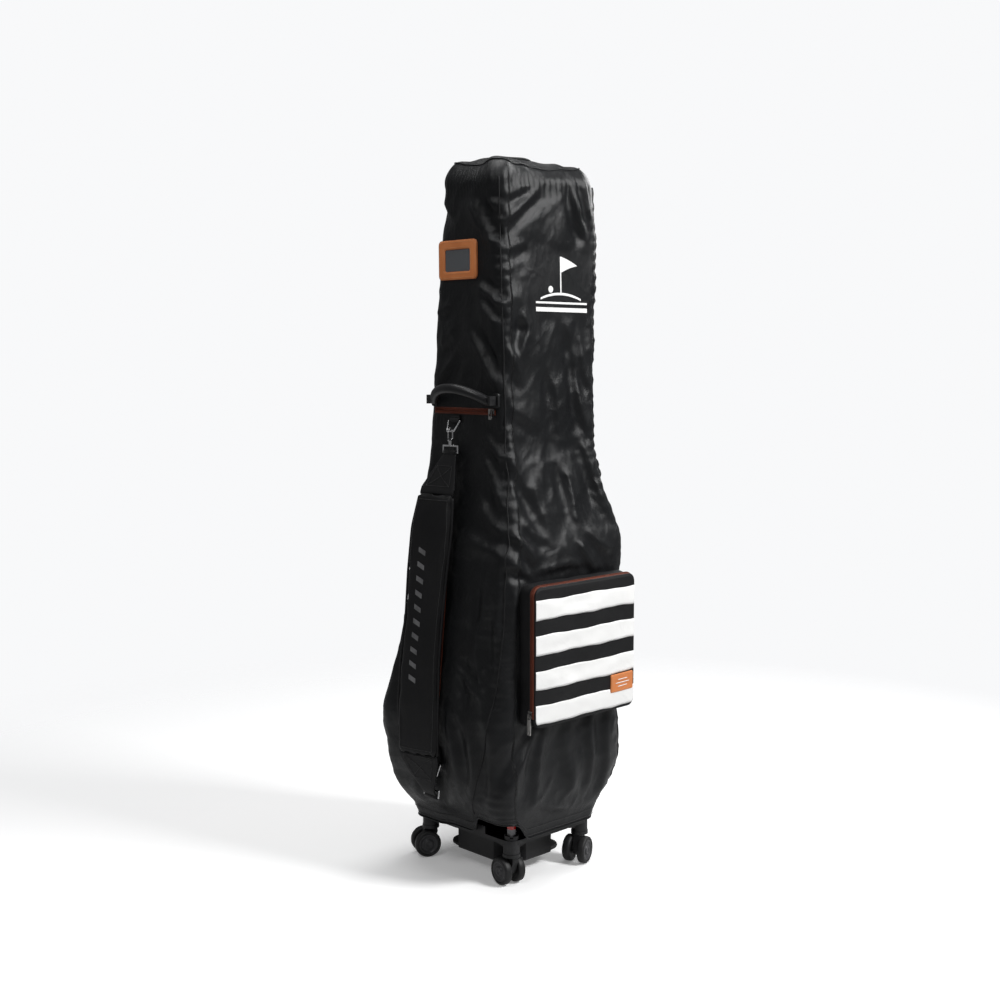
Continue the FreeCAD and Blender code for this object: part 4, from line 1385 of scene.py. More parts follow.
@dataclass
class Pocket:
    """The box pocket: padded walls, striped front panel, patch and zip."""

    x0: float = -105.0
    x1: float = 152.0
    z0: float = 303.0
    z1: float = 548.0
    face: float = -185.3
    mouth: float = -182.0
    radius: float = 14.0

    def trim(self, x: float) -> float:
        """How far the corner rounding cuts into a column at x."""
        d = max(self.x0 + self.radius - x, x - (self.x1 - self.radius), 0.0)
        return self.radius - math.sqrt(max(self.radius ** 2 - d * d, 0.0))

    def front(self, x: float, z: float) -> float:
        """Depth of the front panel's cloth at a place."""
        tx = (x - self.x0) / (self.x1 - self.x0)
        tz = (z - self.z0) / (self.z1 - self.z0)
        swell = 2.4
        for share in (tx, tz):
            swell *= math.sin(math.pi * min(max(share, 0), 1)) ** 0.6
        edge = min(1.0, 6 * min(tx, 1 - tx), 6 * min(tz, 1 - tz))
        wave = noise.noise(Vector((x / 70.0, z / 24.0, 4.0))) * 2.2
        wave += noise.noise(Vector((x / 24.0, z / 17.0, 9.0))) * 0.8
        return self.face - swell - wave * max(edge, 0.0)

    def columns(self) -> Array:
        """Column places, closer together at the rounded ends."""
        turn = np.linspace(0, math.pi / 2, 7)
        left = self.x0 + self.radius * (1 - np.cos(turn))
        right = self.x1 - self.radius * (1 - np.cos(turn))
        return np.concatenate([left, np.linspace(left[-1], right[-1], 44)[1:-1], right[::-1]])

    def patch(self, low: Callable[[float], float], high: Callable[[float], float], rows: int,
              lift: float) -> Array:
        """A piece of cloth lying on the front panel."""
        out = []
        xs = self.columns()
        for t in np.linspace(0, 1, rows):
            out.append([(x, self.front(x, low(x) + (high(x) - low(x)) * t) - lift,
                         low(x) + (high(x) - low(x)) * t) for x in xs])
        return np.asarray(out)

    def build(self) -> None:
        """Makes the pocket."""
        self._walls()
        panel = self.patch(lambda x: self.z0 + self.trim(x), lambda x: self.z1 - self.trim(x), 46, 0.0)
        sheaf = Sheaf()
        sheaf.grid(panel[:, ::-1])
        obj = sheaf.build("pocket_front", PAD_CLOTH, "nylon", Body.POCKET.value)
        even_normals(obj, Side.FRONT.value)
        thicken(obj, 2.6)
        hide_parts("pocket_panel")
        rim = Sheaf()
        loop = [(x, self.front(x, self.z0 + self.trim(x)) + 1.2, self.z0 + self.trim(x) + 0.2)
                for x in self.columns()]
        back = [(x, self.front(x, self.z1 - self.trim(x)) + 1.2, self.z1 - self.trim(x) - 0.2)
                for x in self.columns()[::-1]]
        rim.tube(resample(loop + back, 4.0, True), 1.5, 8, True)
        rim.build("pocket_binding", WEBBING, "black_web", Body.POCKET.value)
        self._stripes()
        self._patch_label()
        self._zip()

    def _walls(self) -> None:
        """Gusset walls between the cover and the pocket's mouth."""
        rings = []
        table = ((-126, -2.0), (-138, -0.4), (-146, 1.2), (-153, 2.2), (-159, 1.8), (-165, 0.6), (-171, 0.2),
                 (-178, 0.2), (self.mouth, 0.0), (self.mouth, -2.4), (-176, -2.6))
        outline = matched_outline(self.x0, self.x1, self.z0, self.z1, self.radius, 8, 30)
        ahead = np.roll(outline, -1, 0) - np.roll(outline, 1, 0)
        out = unit(np.stack([ahead[:, 1], -ahead[:, 0]], 1))
        for y, grow in table:
            ripple = np.array([noise.noise(Vector((p[0] / 26.0, y / 16.0, p[1] / 26.0))) for p in outline])
            loose = 1.5 if -161 < y < -140 else 0.0
            ring = outline + out * (grow + loose * ripple)[:, None]
            rings.append(np.column_stack([ring[:, 0], np.full(len(ring), y), ring[:, 1]]))
        verts, faces = stack_rings(rings)
        obj = make_piece("pocket_walls", verts, [f[::-1] for f in faces], PAD_CLOTH,
                         Body.CASE.value)
        thicken(obj, 1.6)
        soften(obj)
        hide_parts("pocket_gusset")

    def _stripes(self) -> None:
        """Four white webbing bands across the front panel."""
        sheaf = Sheaf()
        for i in range(4):
            base = self.z0 + 4.5 + i * 61.7

            def low(x: float, b: float = base, k: int = i) -> float:
                """Lower edge of the band."""
                wavy = b + 0.9 * math.sin(x / 21.0 + k) + 0.5 * math.sin(x / 8.3 + 2 * k)
                return max(wavy, self.z0 + self.trim(x) + 0.6)

            def high(x: float, b: float = base, k: int = i) -> float:
                """Upper edge of the band."""
                wavy = b + 34.0 + 0.9 * math.sin(x / 25.0 + 2.1 * k) + 0.4 * math.sin(x / 9.1 + k)
                return min(max(wavy, low(x) + 0.4), self.z1 - self.trim(x) - 0.6)

            band = self.patch(low, high, 9, 0.5)
            edge = np.minimum(np.arange(9), np.arange(8, -1, -1))
            band[:, :, 1] -= np.minimum(edge, 1)[:, None] * 0.55
            sheaf.grid(band[:, ::-1])
        obj = sheaf.build("pocket_stripes_sewn", WHITE_WEB, "white_web", Body.POCKET.value)
        even_normals(obj, Side.FRONT.value)
        thicken(obj, 0.8)
        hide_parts("pocket_stripes")
        rows = Sheaf()
        for i in range(4):
            base = self.z0 + 4.5 + i * 61.7
            for dz in (2.2, 31.8):
                line = [(x, self.front(x, base + dz) - 1.25, base + dz)
                        for x in np.arange(self.x0 + 6, self.x1 - 5, 3)]
                stitches(rows, np.asarray(line), 3.6, 2.4, 0.28)
        rows.build("stripe_stitches", WHITE_INK, "white_web", Body.POCKET.value)

    def _patch_label(self) -> None:
        """Leather patch with a sewn edge and a plain pressed motif."""
        x0, x1, z0, z1 = self.x1 - 66, self.x1 - 4, 334.5, 367.5

        def on_panel(outline: Array, lift: float) -> Array:
            """Outline points set on the panel."""
            return np.asarray([(x, self.front(x, z) - lift, z) for x, z in outline])

        rings = []
        for inset, lift in ((0, 0.4), (0, 2.1), (0.5, 2.6), (1.2, 2.8), (5, 2.8), (9, 2.8), (14, 2.8)):
            r = max(3.0 - inset, 0.6)
            rings.append(on_panel(matched_outline(x0 + inset, x1 - inset, z0 + inset, z1 - inset, r), lift))
        verts, faces = stack_rings(rings, True)
        obj = make_piece("pocket_patch", verts, [f[::-1] for f in faces], LEATHER,
                         Body.POCKET.value)
        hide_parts("pocket_label")
        sewn = Sheaf()
        line = on_panel(matched_outline(x0 + 2.6, x1 - 2.6, z0 + 2.6, z1 - 2.6, 1.5), 2.95)
        stitches(sewn, resample(line, 1.5, True), 3.2, 2.2, 0.32)
        sewn.build("patch_stitches", TAN_THREAD, "tan_leather", Body.POCKET.value)
        motif = Sheaf()
        for k, half in enumerate((13.0, 19.0, 13.0)):
            z = 344.5 + 6.2 * k
            x = (x0 + x1) / 2
            row = [(x + s, self.front(x + s, z) - 2.9, z) for s in np.linspace(-half, half, 13)]
            motif.tube(np.asarray(row), 0.75, 6)
        motif.build("patch_motif", WHITE_INK, "tan_leather", Body.POCKET.value)

    def _zip(self) -> None:
        """Zip round the pocket's mouth, from one lower corner over the top to the other."""
        r = self.radius
        pts = [(self.x0, z) for z in np.arange(self.z0 + 16, self.z1 - r, 6.0)]
        turn = np.linspace(0, math.pi / 2, 9)
        pts += [(self.x0 + r - r * math.cos(t), self.z1 - r + r * math.sin(t)) for t in turn]
        pts += [(x, self.z1) for x in np.arange(self.x0 + r + 5, self.x1 - r, 6.0)]
        pts += [(self.x1 - r + r * math.sin(t), self.z1 - r + r * math.cos(t)) for t in turn]
        pts += [(self.x1, z) for z in np.arange(self.z1 - r - 5, self.z0 + 16, -6.0)]
        flat = np.asarray(pts)
        ahead = np.gradient(flat, axis=0)
        out = unit(np.stack([-ahead[:, 1], ahead[:, 0]], 1))
        path = np.column_stack([flat[:, 0] + out[:, 0], np.full(len(flat), -176.6),
                                flat[:, 1] + out[:, 1]])
        normals = np.column_stack([out[:, 0], np.zeros(len(flat)), out[:, 1]])
        ZipRun("pocket_zip", path, normals, 11.0, Body.CASE, "pocket_zipper").build()


@dataclass
class Tag:
    """Name tag: stitched leather frame round a clear window."""

    cover: Cover
    outer: Tuple[float, float, float, float] = (-45.0, 54.0, 1080.0, 1149.0)
    inner: Tuple[float, float, float, float] = (-28.0, 37.0, 1094.0, 1133.0)

    def ring(self, box: Tuple[float, float, float, float], inset: float, r: float, lift: float) -> Array:
        """Rounded outline on the left face."""
        y0, y1, z0, z1 = box
        flat = matched_outline(y0 + inset, y1 - inset, z0 + inset, z1 - inset, r, 6, 10)
        x = self.plane(flat[:, 0], flat[:, 1]) - lift
        return np.column_stack([x, flat[:, 0], flat[:, 1]])

    def plane(self, y: Array, z: Array) -> Array:
        """The tag's own stiff plane, a little bowed."""
        return -110.6 - (z - 1114.0) * 0.0105 + 0.0006 * (y - 4.5) ** 2 * 0.4

    def build(self) -> None:
        """Makes the frame, its stitches and the card behind the window."""
        rings = [self.ring(self.outer, 0, 8, -1.5), self.ring(self.outer, 0, 8, 2.0),
                 self.ring(self.outer, 0.5, 7.5, 2.7),
                 self.ring(self.outer, 1.4, 6.6, 3.1), self.ring(self.outer, 5, 5.0, 3.3),
                 self.ring(self.inner, -5, 6.5, 3.3), self.ring(self.inner, -1.4, 5.0, 3.1),
                 self.ring(self.inner, -0.4, 4.2, 2.6), self.ring(self.inner, 0, 4, 1.6),
                 self.ring(self.inner, 0, 4, 0.2)]
        verts, faces = stack_rings(rings)
        obj = make_piece("tag_frame", verts, faces, LEATHER, Body.CASE.value)
        even_normals(obj, Side.LEFT.value)
        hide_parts("id_frame")
        sewn = Sheaf()
        for box, inset, r in ((self.outer, 3.4, 6.0), (self.inner, -3.4, 6.0)):
            stitches(sewn, resample(self.ring(box, inset, r, 3.45), 1.5, True), 3.6, 2.5, 0.36)
        sewn.build("tag_stitches", TAN_THREAD, "tan_leather", Body.CASE.value)
        edge = Sheaf()
        edge.tube(self.ring(self.outer, 0.1, 7.9, 1.9), 0.55, 6, True)
        edge.tube(self.ring(self.inner, 0.1, 3.9, 1.6), 0.5, 6, True)
        edge.build("tag_edge", LEATHER_EDGE, "tan_leather", Body.CASE.value)
        card = [self.ring(self.inner, -1.0, 4, 0.2), self.ring(self.inner, 4, 3, 0.3),
                self.ring(self.inner, 12, 2, 0.35)]
        verts, faces = stack_rings(card, True)
        obj = make_piece("tag_card", verts, faces, CARD, Body.CASE.value)
        even_normals(obj, Side.LEFT.value)


@dataclass
class Print:
    """Plain white sports mark on the front: a flag, a ball and two bars."""

    cover: Cover
    middle: float = 40.0
    lift: float = 0.55

    def lay(self, sheaf: Sheaf, grid: Array) -> None:
        """Puts a flat grid of (x, z) points on the cloth."""
        rows, cols = grid.shape[:2]
        on = self.cover.on(Side.FRONT, [tuple(p) for p in grid.reshape(-1, 2)], self.lift)
        sheaf.add(on, [f[::-1] for f in grid_faces(rows, cols)])

    def bar(self, sheaf: Sheaf, x0: float, x1: float, z0: float, z1: float) -> None:
        """Adds a straight bar with its own fine grid."""
        xs = np.linspace(x0, x1, max(3, int(abs(x1 - x0) / 3.0)))
        zs = np.linspace(z0, z1, max(3, int(abs(z1 - z0) / 3.0)))
        self.lay(sheaf, np.asarray([[(x, z) for x in xs] for z in zs]))

    def build(self) -> None:
        """Makes the mark."""
        sheaf = Sheaf()
        m = self.middle
        self.bar(sheaf, m - 66, m + 66, 1024, 1031.5)
        self.bar(sheaf, m - 66, m + 66, 1038, 1041.5)
        self.bar(sheaf, m - 3.4, m - 0.4, 1056, 1122)
        rows = []
        for t in np.linspace(0, 1, 9):
            top = 1122 - 15 * t
            low = 1094 + 13 * t
            rows.append([(m - 0.4 + 42 * t, top + (low - top) * s + 1.6 * math.sin(3 * t))
                         for s in np.linspace(0, 1, 9)])
        self.lay(sheaf, np.asarray(rows)[::-1])
        arc = []
        for t in np.linspace(-1, 1, 25):
            z = 1056 - 9 * t * t
            arc.append([(m - 2 + 52 * t, z - 2.2), (m - 2 + 52 * t, z + 2.2 * (1 - 0.4 * t * t))])
        self.lay(sheaf, np.transpose(np.asarray(arc), (1, 0, 2)))
        cx, cz, r = m - 28, 1063.5, 6.0
        disc = [[(cx + r * s * math.cos(t), cz + r * s * math.sin(t))
                 for t in np.linspace(0, 2 * math.pi, 25)]
                for s in (1.0, 0.55, 0.05)]
        self.lay(sheaf, np.asarray(disc)[::-1])
        sheaf.build("front_print", WHITE_INK, "white_web", Body.CASE.value)


@dataclass
class Strap:
    """Padded shoulder strap with tapered webbing ends."""

    rows: Table = (
        (230, -185, 33, 88, 11, 12), (320, -186, 32, 90, 11, 14), (400, -179.5, 34, 86, 11, 14),
        (480, -172.5, 30, 82, 11, 14), (560, -165.5, 28, 88, 11, 13), (640, -155, 27, 94, 11, 10),
        (700, -145, 26, 82, 11, 6))
    upper: Table = (
        (698, -145, 26, 80, 10, 6), (712, -141.5, 25, 80, 7, 6), (742, -131, 20.5, 57, 5.5, 3),
        (773, -120, 16, 32, 5, 0))
    lower: Table = (
        (152.5, -169.3, 16, 32, 5, 0), (163.4, -175.8, 17, 31, 5, 2), (190, -180, 27, 62, 5.5, 8),
        (218, -184, 33, 86, 7, 12), (232, -185, 33, 86, 10, 12))

    def at(self, table: Table, z: float) -> Array:
        """Middle x, y, width, thickness and turn at a height."""
        rows = np.asarray(table)
        return np.array([np.interp(z, rows[:, 0], rows[:, k]) for k in range(1, 6)])

    def point(self, table: Table, z: float, across: float, out: float) -> Array:
        """A point of the strap."""
        cx, cy, width, thick, turn = self.at(table, z)
        a = math.radians(turn)
        u, v = -thick * out, width * across
        return np.array([cx + u * math.cos(a) - v * math.sin(a), cy + u * math.sin(a) + v * math.cos(a), z])

    def loft(self, table: Table, step: float, thin: float,
             shrink: float = 0.0) -> Tuple[Array, List[Face]]:
        """Closed rounded loft through a section table.

        Args:
            table: section table.
            step: height step.
            thin: share of the thickness.
            shrink: how much narrower, in millimetres.

        Returns:
            Vertices and faces.
        """
        low, high = table[0][0], table[-1][0]
        rings = []
        zs = np.linspace(low, high, max(4, int((high - low) / step)))
        for z in zs:
            width = self.at(table, z)[2]
            end = min(1.0, math.sqrt(max(0.0, 1 - (1 - min(z - low, high - z) / 5.0) ** 2)) if min(
                z - low, high - z) < 5 else 1.0)
            ring = []
            for k in range(44):
                t = 2 * math.pi * k / 44
                c, s = math.cos(t), math.sin(t)
                across = 0.5 * math.copysign(abs(s) ** 0.35, s) * (1 - shrink / width)
                out = 0.5 * math.copysign(abs(c) ** 0.5, c) * thin * max(end, 0.45)
                ring.append(self.point(table, z, across, out))
            rings.append(np.asarray(ring))
        verts, faces = stack_rings(rings)
        n = 44
        faces.append(tuple(range(n))[::-1])
        faces.append(tuple(len(verts) - n + k for k in range(n)))
        return verts, faces

    def build(self) -> None:
        """Makes the pad, its piping, its stitches, the print and the ends."""
        verts, faces = self.loft(self.rows, 6.0, 0.74, 0.6)
        pad = make_piece("strap_cushion", verts, faces, PAD_CLOTH, Body.STRAP.value)
        even_normals(pad)
        self._inflate(pad)
        self._sew_down(pad)
        soften(pad)
        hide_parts("strap_pad")
        edge = Sheaf()
        for s in (-0.5, 0.5):
            line = [self.point(self.rows, z, s * 0.972, 0.1) for z in np.arange(232, 699, 6.0)]
            edge.tube(relax(np.asarray(line), 3), 2.3, 10)
        edge.build("strap_piping", WEBBING, "strap_nylon", Body.STRAP.value)
        self._ends()
        self._marks(pad)

    def _inflate(self, pad: Piece) -> None:
        """Fills the pad with a short cloth simulation under pressure."""
        world = pad.matrix_world.copy()
        copy = pad.data.copy()
        copy.transform(world)
        ghost = bpy.data.objects.new("pad_form", copy)
        bpy.context.scene.collection.objects.link(ghost)
        mod = ghost.modifiers.new("Even", "REMESH")
        mod.mode = "VOXEL"
        mod.voxel_size = 0.005
        graph = bpy.context.evaluated_depsgraph_get()
        even = bpy.data.meshes.new_from_object(ghost.evaluated_get(graph))
        ghost.modifiers.clear()
        ghost.data = even
        rest = read_points(even)
        moved = run_cloth(ghost, 18, 0.0, mass=0.15, tension_stiffness=25, compression_stiffness=25,
                          bending_stiffness=0.6, use_pressure=True, uniform_pressure_force=4.0) - rest
        through = np.array([math.cos(math.radians(12)), math.sin(math.radians(12)), 0.0])
        final = rest + np.clip(moved @ through, -0.004, 0.004)[:, None] * through
        even.vertices.foreach_set("co", final.ravel())
        even.transform(world.inverted())
        even.materials.clear()
        even.materials.append(RACK.get(PAD_CLOTH))
        even.polygons.foreach_set("use_smooth", [True] * len(even.polygons))
        pad.data = even
        bpy.data.objects.remove(ghost)

    def _sew_down(self, pad: Piece) -> None:
        """Draws the pad in along its two stitched channels."""
        mesh = pad.data
        pts = unplace(read_points(mesh))
        for i, p in enumerate(pts):
            cx, cy, width, thick, turn = self.at(self.rows, float(np.clip(p[2], 230, 700)))
            a = math.radians(turn)
            dx, dy = p[0] - cx, p[1] - cy
            u = dx * math.cos(a) + dy * math.sin(a)
            v = -dx * math.sin(a) + dy * math.cos(a)
            gap = abs(abs(v) - (width / 2 - 8.5))
            end = min(abs(p[2] - 240), abs(p[2] - 690))
            dip = 1.9 * math.exp(-(gap / 2.6) ** 2) + 1.2 * math.exp(-(end / 2.6) ** 2)
            crown = 1.6 * max(0.0, 1 - (2 * v / width) ** 2)
            ripple = noise.noise(Vector((v / 30.0, p[2] / 44.0, 2.0))) * 1.3
            move = crown + ripple - dip
            share = min(1.0, abs(u) / (thick * 0.3))
            u += math.copysign(move * share, u)
            pts[i, 0] = cx + u * math.cos(a) - v * math.sin(a)
            pts[i, 1] = cy + u * math.sin(a) + v * math.cos(a)
        mesh.vertices.foreach_set("co", place(pts).ravel())
        mesh.update()

    def _ends(self) -> None:
        """Tapered ends that fold round the hook loops, with boxed stitching."""
        a = math.radians(8)
        low = np.array([-164 - 38 * math.sin(a), 16, 190 - 38 * math.cos(a)])
        high = np.array([-120.0, 16.0, 774.0])
        for name, table, bar, span in (("strap_end_upper", self.upper, high, (714, 750)),
                                       ("strap_end_lower", self.lower, low, (184, 226))):
            verts, faces = self.loft(table, 4.0, 1.0)
            sheaf = Sheaf()
            sheaf.add(verts, faces)
            turn = np.linspace(0, 2 * math.pi, 17)[:-1]
            sleeve = [bar + np.array([4.3 * math.cos(t), 0, 4.3 * math.sin(t)]) for t in turn]
            bore = [bar + np.array([2.0 * math.cos(t), 0, 2.0 * math.sin(t)]) for t in turn]
            rings = [np.asarray(ring) + np.array([0, y, 0]) for ring, y in
                     ((bore, -15), (sleeve, -15.6), (sleeve, 0), (sleeve, 15.6), (bore, 15), (bore, 0),
                      (bore, -15))]
            v, f = stack_rings(rings)
            sheaf.add(v, f)
            obj = sheaf.build(name, WEBBING, "strap_nylon", Body.STRAP.value)
            even_normals(obj)
            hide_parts("strap_tabs")
            sewn = Sheaf()
            z0, z1 = span
            corners = [(-0.36, z0), (0.36, z0), (0.36, z1), (-0.36, z1)]
            runs = [corners + corners[:1], [corners[0], corners[2]], [corners[1], corners[3]]]
            for run in runs:
                fine = []
                for p, q in zip(run, run[1:]):
                    fine += [(p[0] + (q[0] - p[0]) * t, p[1] + (q[1] - p[1]) * t)
                             for t in np.linspace(0, 1, 18)]
                line = np.asarray([self.point(table, z, s, 0.58) for s, z in fine])
                stitches(sewn, line, 3.8, 2.7, 0.42)
            sewn.build(name + "_stitches", THREAD, "strap_nylon", Body.STRAP.value)

    def _marks(self, pad: Piece) -> None:
        """Slanted grey dashes and the channel stitches on the outer face."""
        graph = bpy.context.evaluated_depsgraph_get()
        done = pad.evaluated_get(graph)
        tree = BVHTree.FromPolygons([pad.matrix_world @ v.co for v in done.data.vertices],
                                    [tuple(p.vertices) for p in done.data.polygons])

        def outer(z: float, across: float, lift: float) -> Array:
            """Point on the pad's outer face."""
            start = self.point(self.rows, z, across, 0.5)
            a = math.radians(self.at(self.rows, z)[4])
            look = np.array([math.cos(a), math.sin(a), 0.0])
            hit, _, _, _ = tree.ray_cast(Vector(place([start - look * 30])[0]), Vector(look), 0.08)
            spot = start if hit is None else unplace(np.asarray(hit)[None, :])[0]
            return spot - look * lift

        dashes = Sheaf()
        for n in range(10):
            z = 360 + n * 25.5
            rows = []
            for t in np.linspace(0, 1, 6):
                rows.append([outer(z + 9 * s + 7 * t, 0.02 + 0.18 * t, 0.45) for s in np.linspace(0, 1, 4)])
            dashes.grid(np.asarray(rows))
        obj = dashes.build("strap_dashes", GREY_INK, "strap_nylon", Body.STRAP.value)
        even_normals(obj)
        sewn = Sheaf()
        for s in (-1, 1):
            line = []
            for z in np.arange(241, 690, 3.0):
                width = self.at(self.rows, z)[2]
                line.append(outer(z, s * (0.5 - 8.5 / width), 0.25))
            stitches(sewn, np.asarray(line), 4.2, 3.0, 0.42)
        for z in (240.0, 690.0):
            line = [outer(z, t, 0.25) for t in np.linspace(-0.4, 0.4, 30)]
            stitches(sewn, np.asarray(line), 4.2, 3.0, 0.42)
        sewn.build("strap_channel_stitches", THREAD, "strap_nylon", Body.STRAP.value)


@dataclass
class RingTabs:
    """Short webbing tabs that hold the strap rings to the cover."""

    cover: Cover

    def build(self) -> None:
        """Makes both tabs."""
        for n, (y, bar_z, sewn, name) in enumerate(((16.0, 830.0, 11.0, "ring_tab_upper"),
                                                    (16.0, 210.0, 32.0, "ring_tab_lower"))):
            bar_x = self.cover.sizes(bar_z)[0] - 4.2
            path: List[Pair] = []
            for z in np.linspace(bar_z + sewn, bar_z + 5, 5):
                path.append((self.cover.sizes(z)[0] - 0.6, z))
            for t in np.linspace(60, -200, 14):
                path.append((bar_x + 2.9 * math.cos(math.radians(t)),
                             bar_z + 2.9 * math.sin(math.radians(t))))
            for z in np.linspace(bar_z + 5, bar_z + sewn, 5):
                path.append((self.cover.sizes(z)[0] - 2.3, z))
            line = np.asarray(path)
            half = np.linspace(-12.5, 12.5, 9)
            grid = np.asarray([[(p[0], y + h, p[1]) for h in half] for p in line])
            sheaf = Sheaf()
            sheaf.grid(grid)
            obj = sheaf.build(name, WEBBING, "black_web", Body.CASE.value)
            thicken(obj, 1.2, 0.0)
            soften(obj)
            if n == 0:
                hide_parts("ring_tabs")
            sewn_rows = Sheaf()
            for dz in ((3.2,) if sewn < 15 else (8.0, 26.0)):
                z = bar_z + sewn - 3.0 if sewn < 15 else bar_z + dz
                x = self.cover.sizes(z)[0] - 3.3
                row = np.asarray([(x, y + h, z) for h in np.linspace(-11, 11, 12)])
                stitches(sewn_rows, row, 3.4, 2.4, 0.4)
            sewn_rows.build(name + "_stitches", THREAD, "black_web", Body.CASE.value)


@dataclass
class TopBand:
    """Stiff bound edge along the rear of the top."""

    x0: float = -6.0
    x1: float = 112.0
    y: float = 38.0
    low: float = 1268.0
    high: float = 1311.0

    def build(self) -> None:
        """Makes the band and its binding."""
        rows = []
        for t in np.linspace(0, 1, 9):
            row = []
            for s in np.linspace(0, 1, 31):
                x = self.x0 + (self.x1 - self.x0) * s
                top = self.high - 10.0 * abs(2 * s - 1) ** 5 - 1.5 * math.sin(5 * s)
                row.append((x, self.y + 0.8 * math.sin(6 * s) * t, self.low + (top - self.low) * t))
            rows.append(row)
        grid = np.asarray(rows)
        sheaf = Sheaf()
        sheaf.grid(grid)
        obj = sheaf.build("top_edge_band", WEBBING, "black_web", Body.CASE.value)
        thicken(obj, 3.0, 0.0)
        soften(obj)
        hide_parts("top_band")
        bound = Sheaf()
        path = np.vstack([grid[3:, 0], grid[-1, 1:-1], grid[:2:-1, -1]])
        bound.tube(path, 2.4, 10)
        bound.build("top_edge_binding", WEBBING, "black_web", Body.CASE.value)
        sewn = Sheaf()
        for side in (-1, 1):
            line = grid[6] + np.array([0, side * 1.8, 0])
            stitches(sewn, resample(line, 2.0), 4.0, 2.8, 0.4)
        sewn.build("top_edge_stitches", THREAD, "black_web", Body.CASE.value)


@dataclass
class FloorPad:
    """Foam pad in the bottom of the tray."""

    def build(self) -> None:
        """Makes the pad over the space of its solid."""
        low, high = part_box("floor_pad")
        lo, hi = unplace(np.asarray(low)[None, :])[0], unplace(np.asarray(high)[None, :])[0]
        rings = []
        for inset, share in ((1.2, 0.0), (0.2, 0.25), (0.0, 0.6), (0.8, 0.9), (3.0, 1.0), (14.0, 1.0),
                             (34.0, 1.0)):
            flat = matched_outline(lo[0] + inset, hi[0] - inset, lo[1] + inset, hi[1] - inset,
                                   30.0 - inset * 0.7)
            z = lo[2] + (hi[2] - lo[2]) * share
            rings.append(np.column_stack([flat, np.full(len(flat), z)]))
        verts, faces = stack_rings(rings, True)
        obj = make_piece("tray_foam", verts, faces, FOAM, Body.CASE.value)
        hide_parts("floor_pad")


@dataclass
class Wheels:
    """Twin caster wheels with dished faces and rounded treads."""

    radius: float = 25.0

    def build(self) -> None:
        """Makes the eight wheels from their axles."""
        for joint in frame["joints"]:
            if not joint["name"].endswith("_spin"):
                continue
            node = joint["name"][: -len("_spin")]
            self._wheel(node, np.asarray(joint["pos_m"], float), np.asarray(joint["axis"], float))

    def _wheel(self, node: str, centre: Array, axis: Array) -> None:
        """Makes one wheel.

        Args:
            node: CAD node that it stands for.
            centre: a point on the axle in metres.
            axis: direction of the axle.
        """
        mesh = frame["nodes"][node].data
        along = np.array([(np.asarray(v.co) - centre) @ axis for v in mesh.vertices]) / MM
        low, high = float(along.min()), float(along.max())
        sign = 1.0 if high + low > 0 else -1.0
        inner, outer = (low, high) if sign > 0 else (high, low)
        width = abs(outer - inner)
        mid = unplace(centre[None, :])[0]
        up = np.array([0.0, 0.0, 1.0])
        side = np.cross(axis, up)
        r = self.radius
        tread = ((17.5, 0.6), (20.5, 0.0), (22.8, 0.4), (24.4, 1.9), (r, 4.4), (r, width * 0.5),
                 (r, width - 4.4), (24.4, width - 1.9), (22.8, width - 0.5), (20.8, width),
                 (19.6, width - 0.5), (19.0, width - 1.6))
        face = ((19.1, width - 1.7), (18.4, width - 0.9), (16.6, width - 0.6), (15.6, width - 1.3),
                (14.6, width - 2.9), (9.6, width - 3.2), (8.8, width - 2.0), (8.2, width - 0.5),
                (6.8, width - 0.1), (4.8, width - 0.1),
                (4.2, width - 0.9), (0.05, width - 1.0))
        back = ((17.6, 0.7), (15.5, 1.6), (9.0, 1.8), (8.0, 0.1), (3.2, 0.1))
        for name, profile, finish in ((node + "_tread", tread, TYRE), (node + "_face", face, WHEEL_FACE),
                                      (node + "_back", back, TYRE)):
            rings = []
            for rad, t in profile:
                spin = np.linspace(0, 2 * math.pi, 49)[:-1]
                at = mid + axis * (inner + sign * t)
                rings.append(at + rad * (np.cos(spin)[:, None] * side + np.sin(spin)[:, None] * up))
            verts, faces = stack_rings(rings)
            body = frame["nodes"][node]["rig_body"]
            obj = make_piece(name, verts, faces, finish, body)
            even_normals(obj)
            if name.endswith("_tread"):
                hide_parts(node)


@dataclass
class LockSpring:
    """Coil spring under the lock button."""

    turns: float = 5.0
    wire: float = 0.45
    travel: float = 3.5
    fixed_end: float = 72.1

    def build(self) -> None:
        """Winds the spring in the space of its solid."""
        lo, hi = unplace(np.asarray(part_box("lock_spring")))
        middle = (lo + hi) / 2
        radius = (hi[0] - lo[0]) / 2 - self.wire
        share = np.linspace(0, 1, 91)
        turn = share * self.turns * 2 * math.pi
        rise = lo[2] + self.wire + share * (hi[2] - lo[2] - 2 * self.wire)
        coil = Sheaf()
        coil.tube(np.column_stack([middle[0] + radius * np.cos(turn), middle[1] + radius * np.sin(turn),
                                   rise]),
                  self.wire, 8)
        obj = coil.build("lock_coil", STEEL, "steel", Body.CASE.value)
        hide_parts("lock_spring")
        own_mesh(obj)


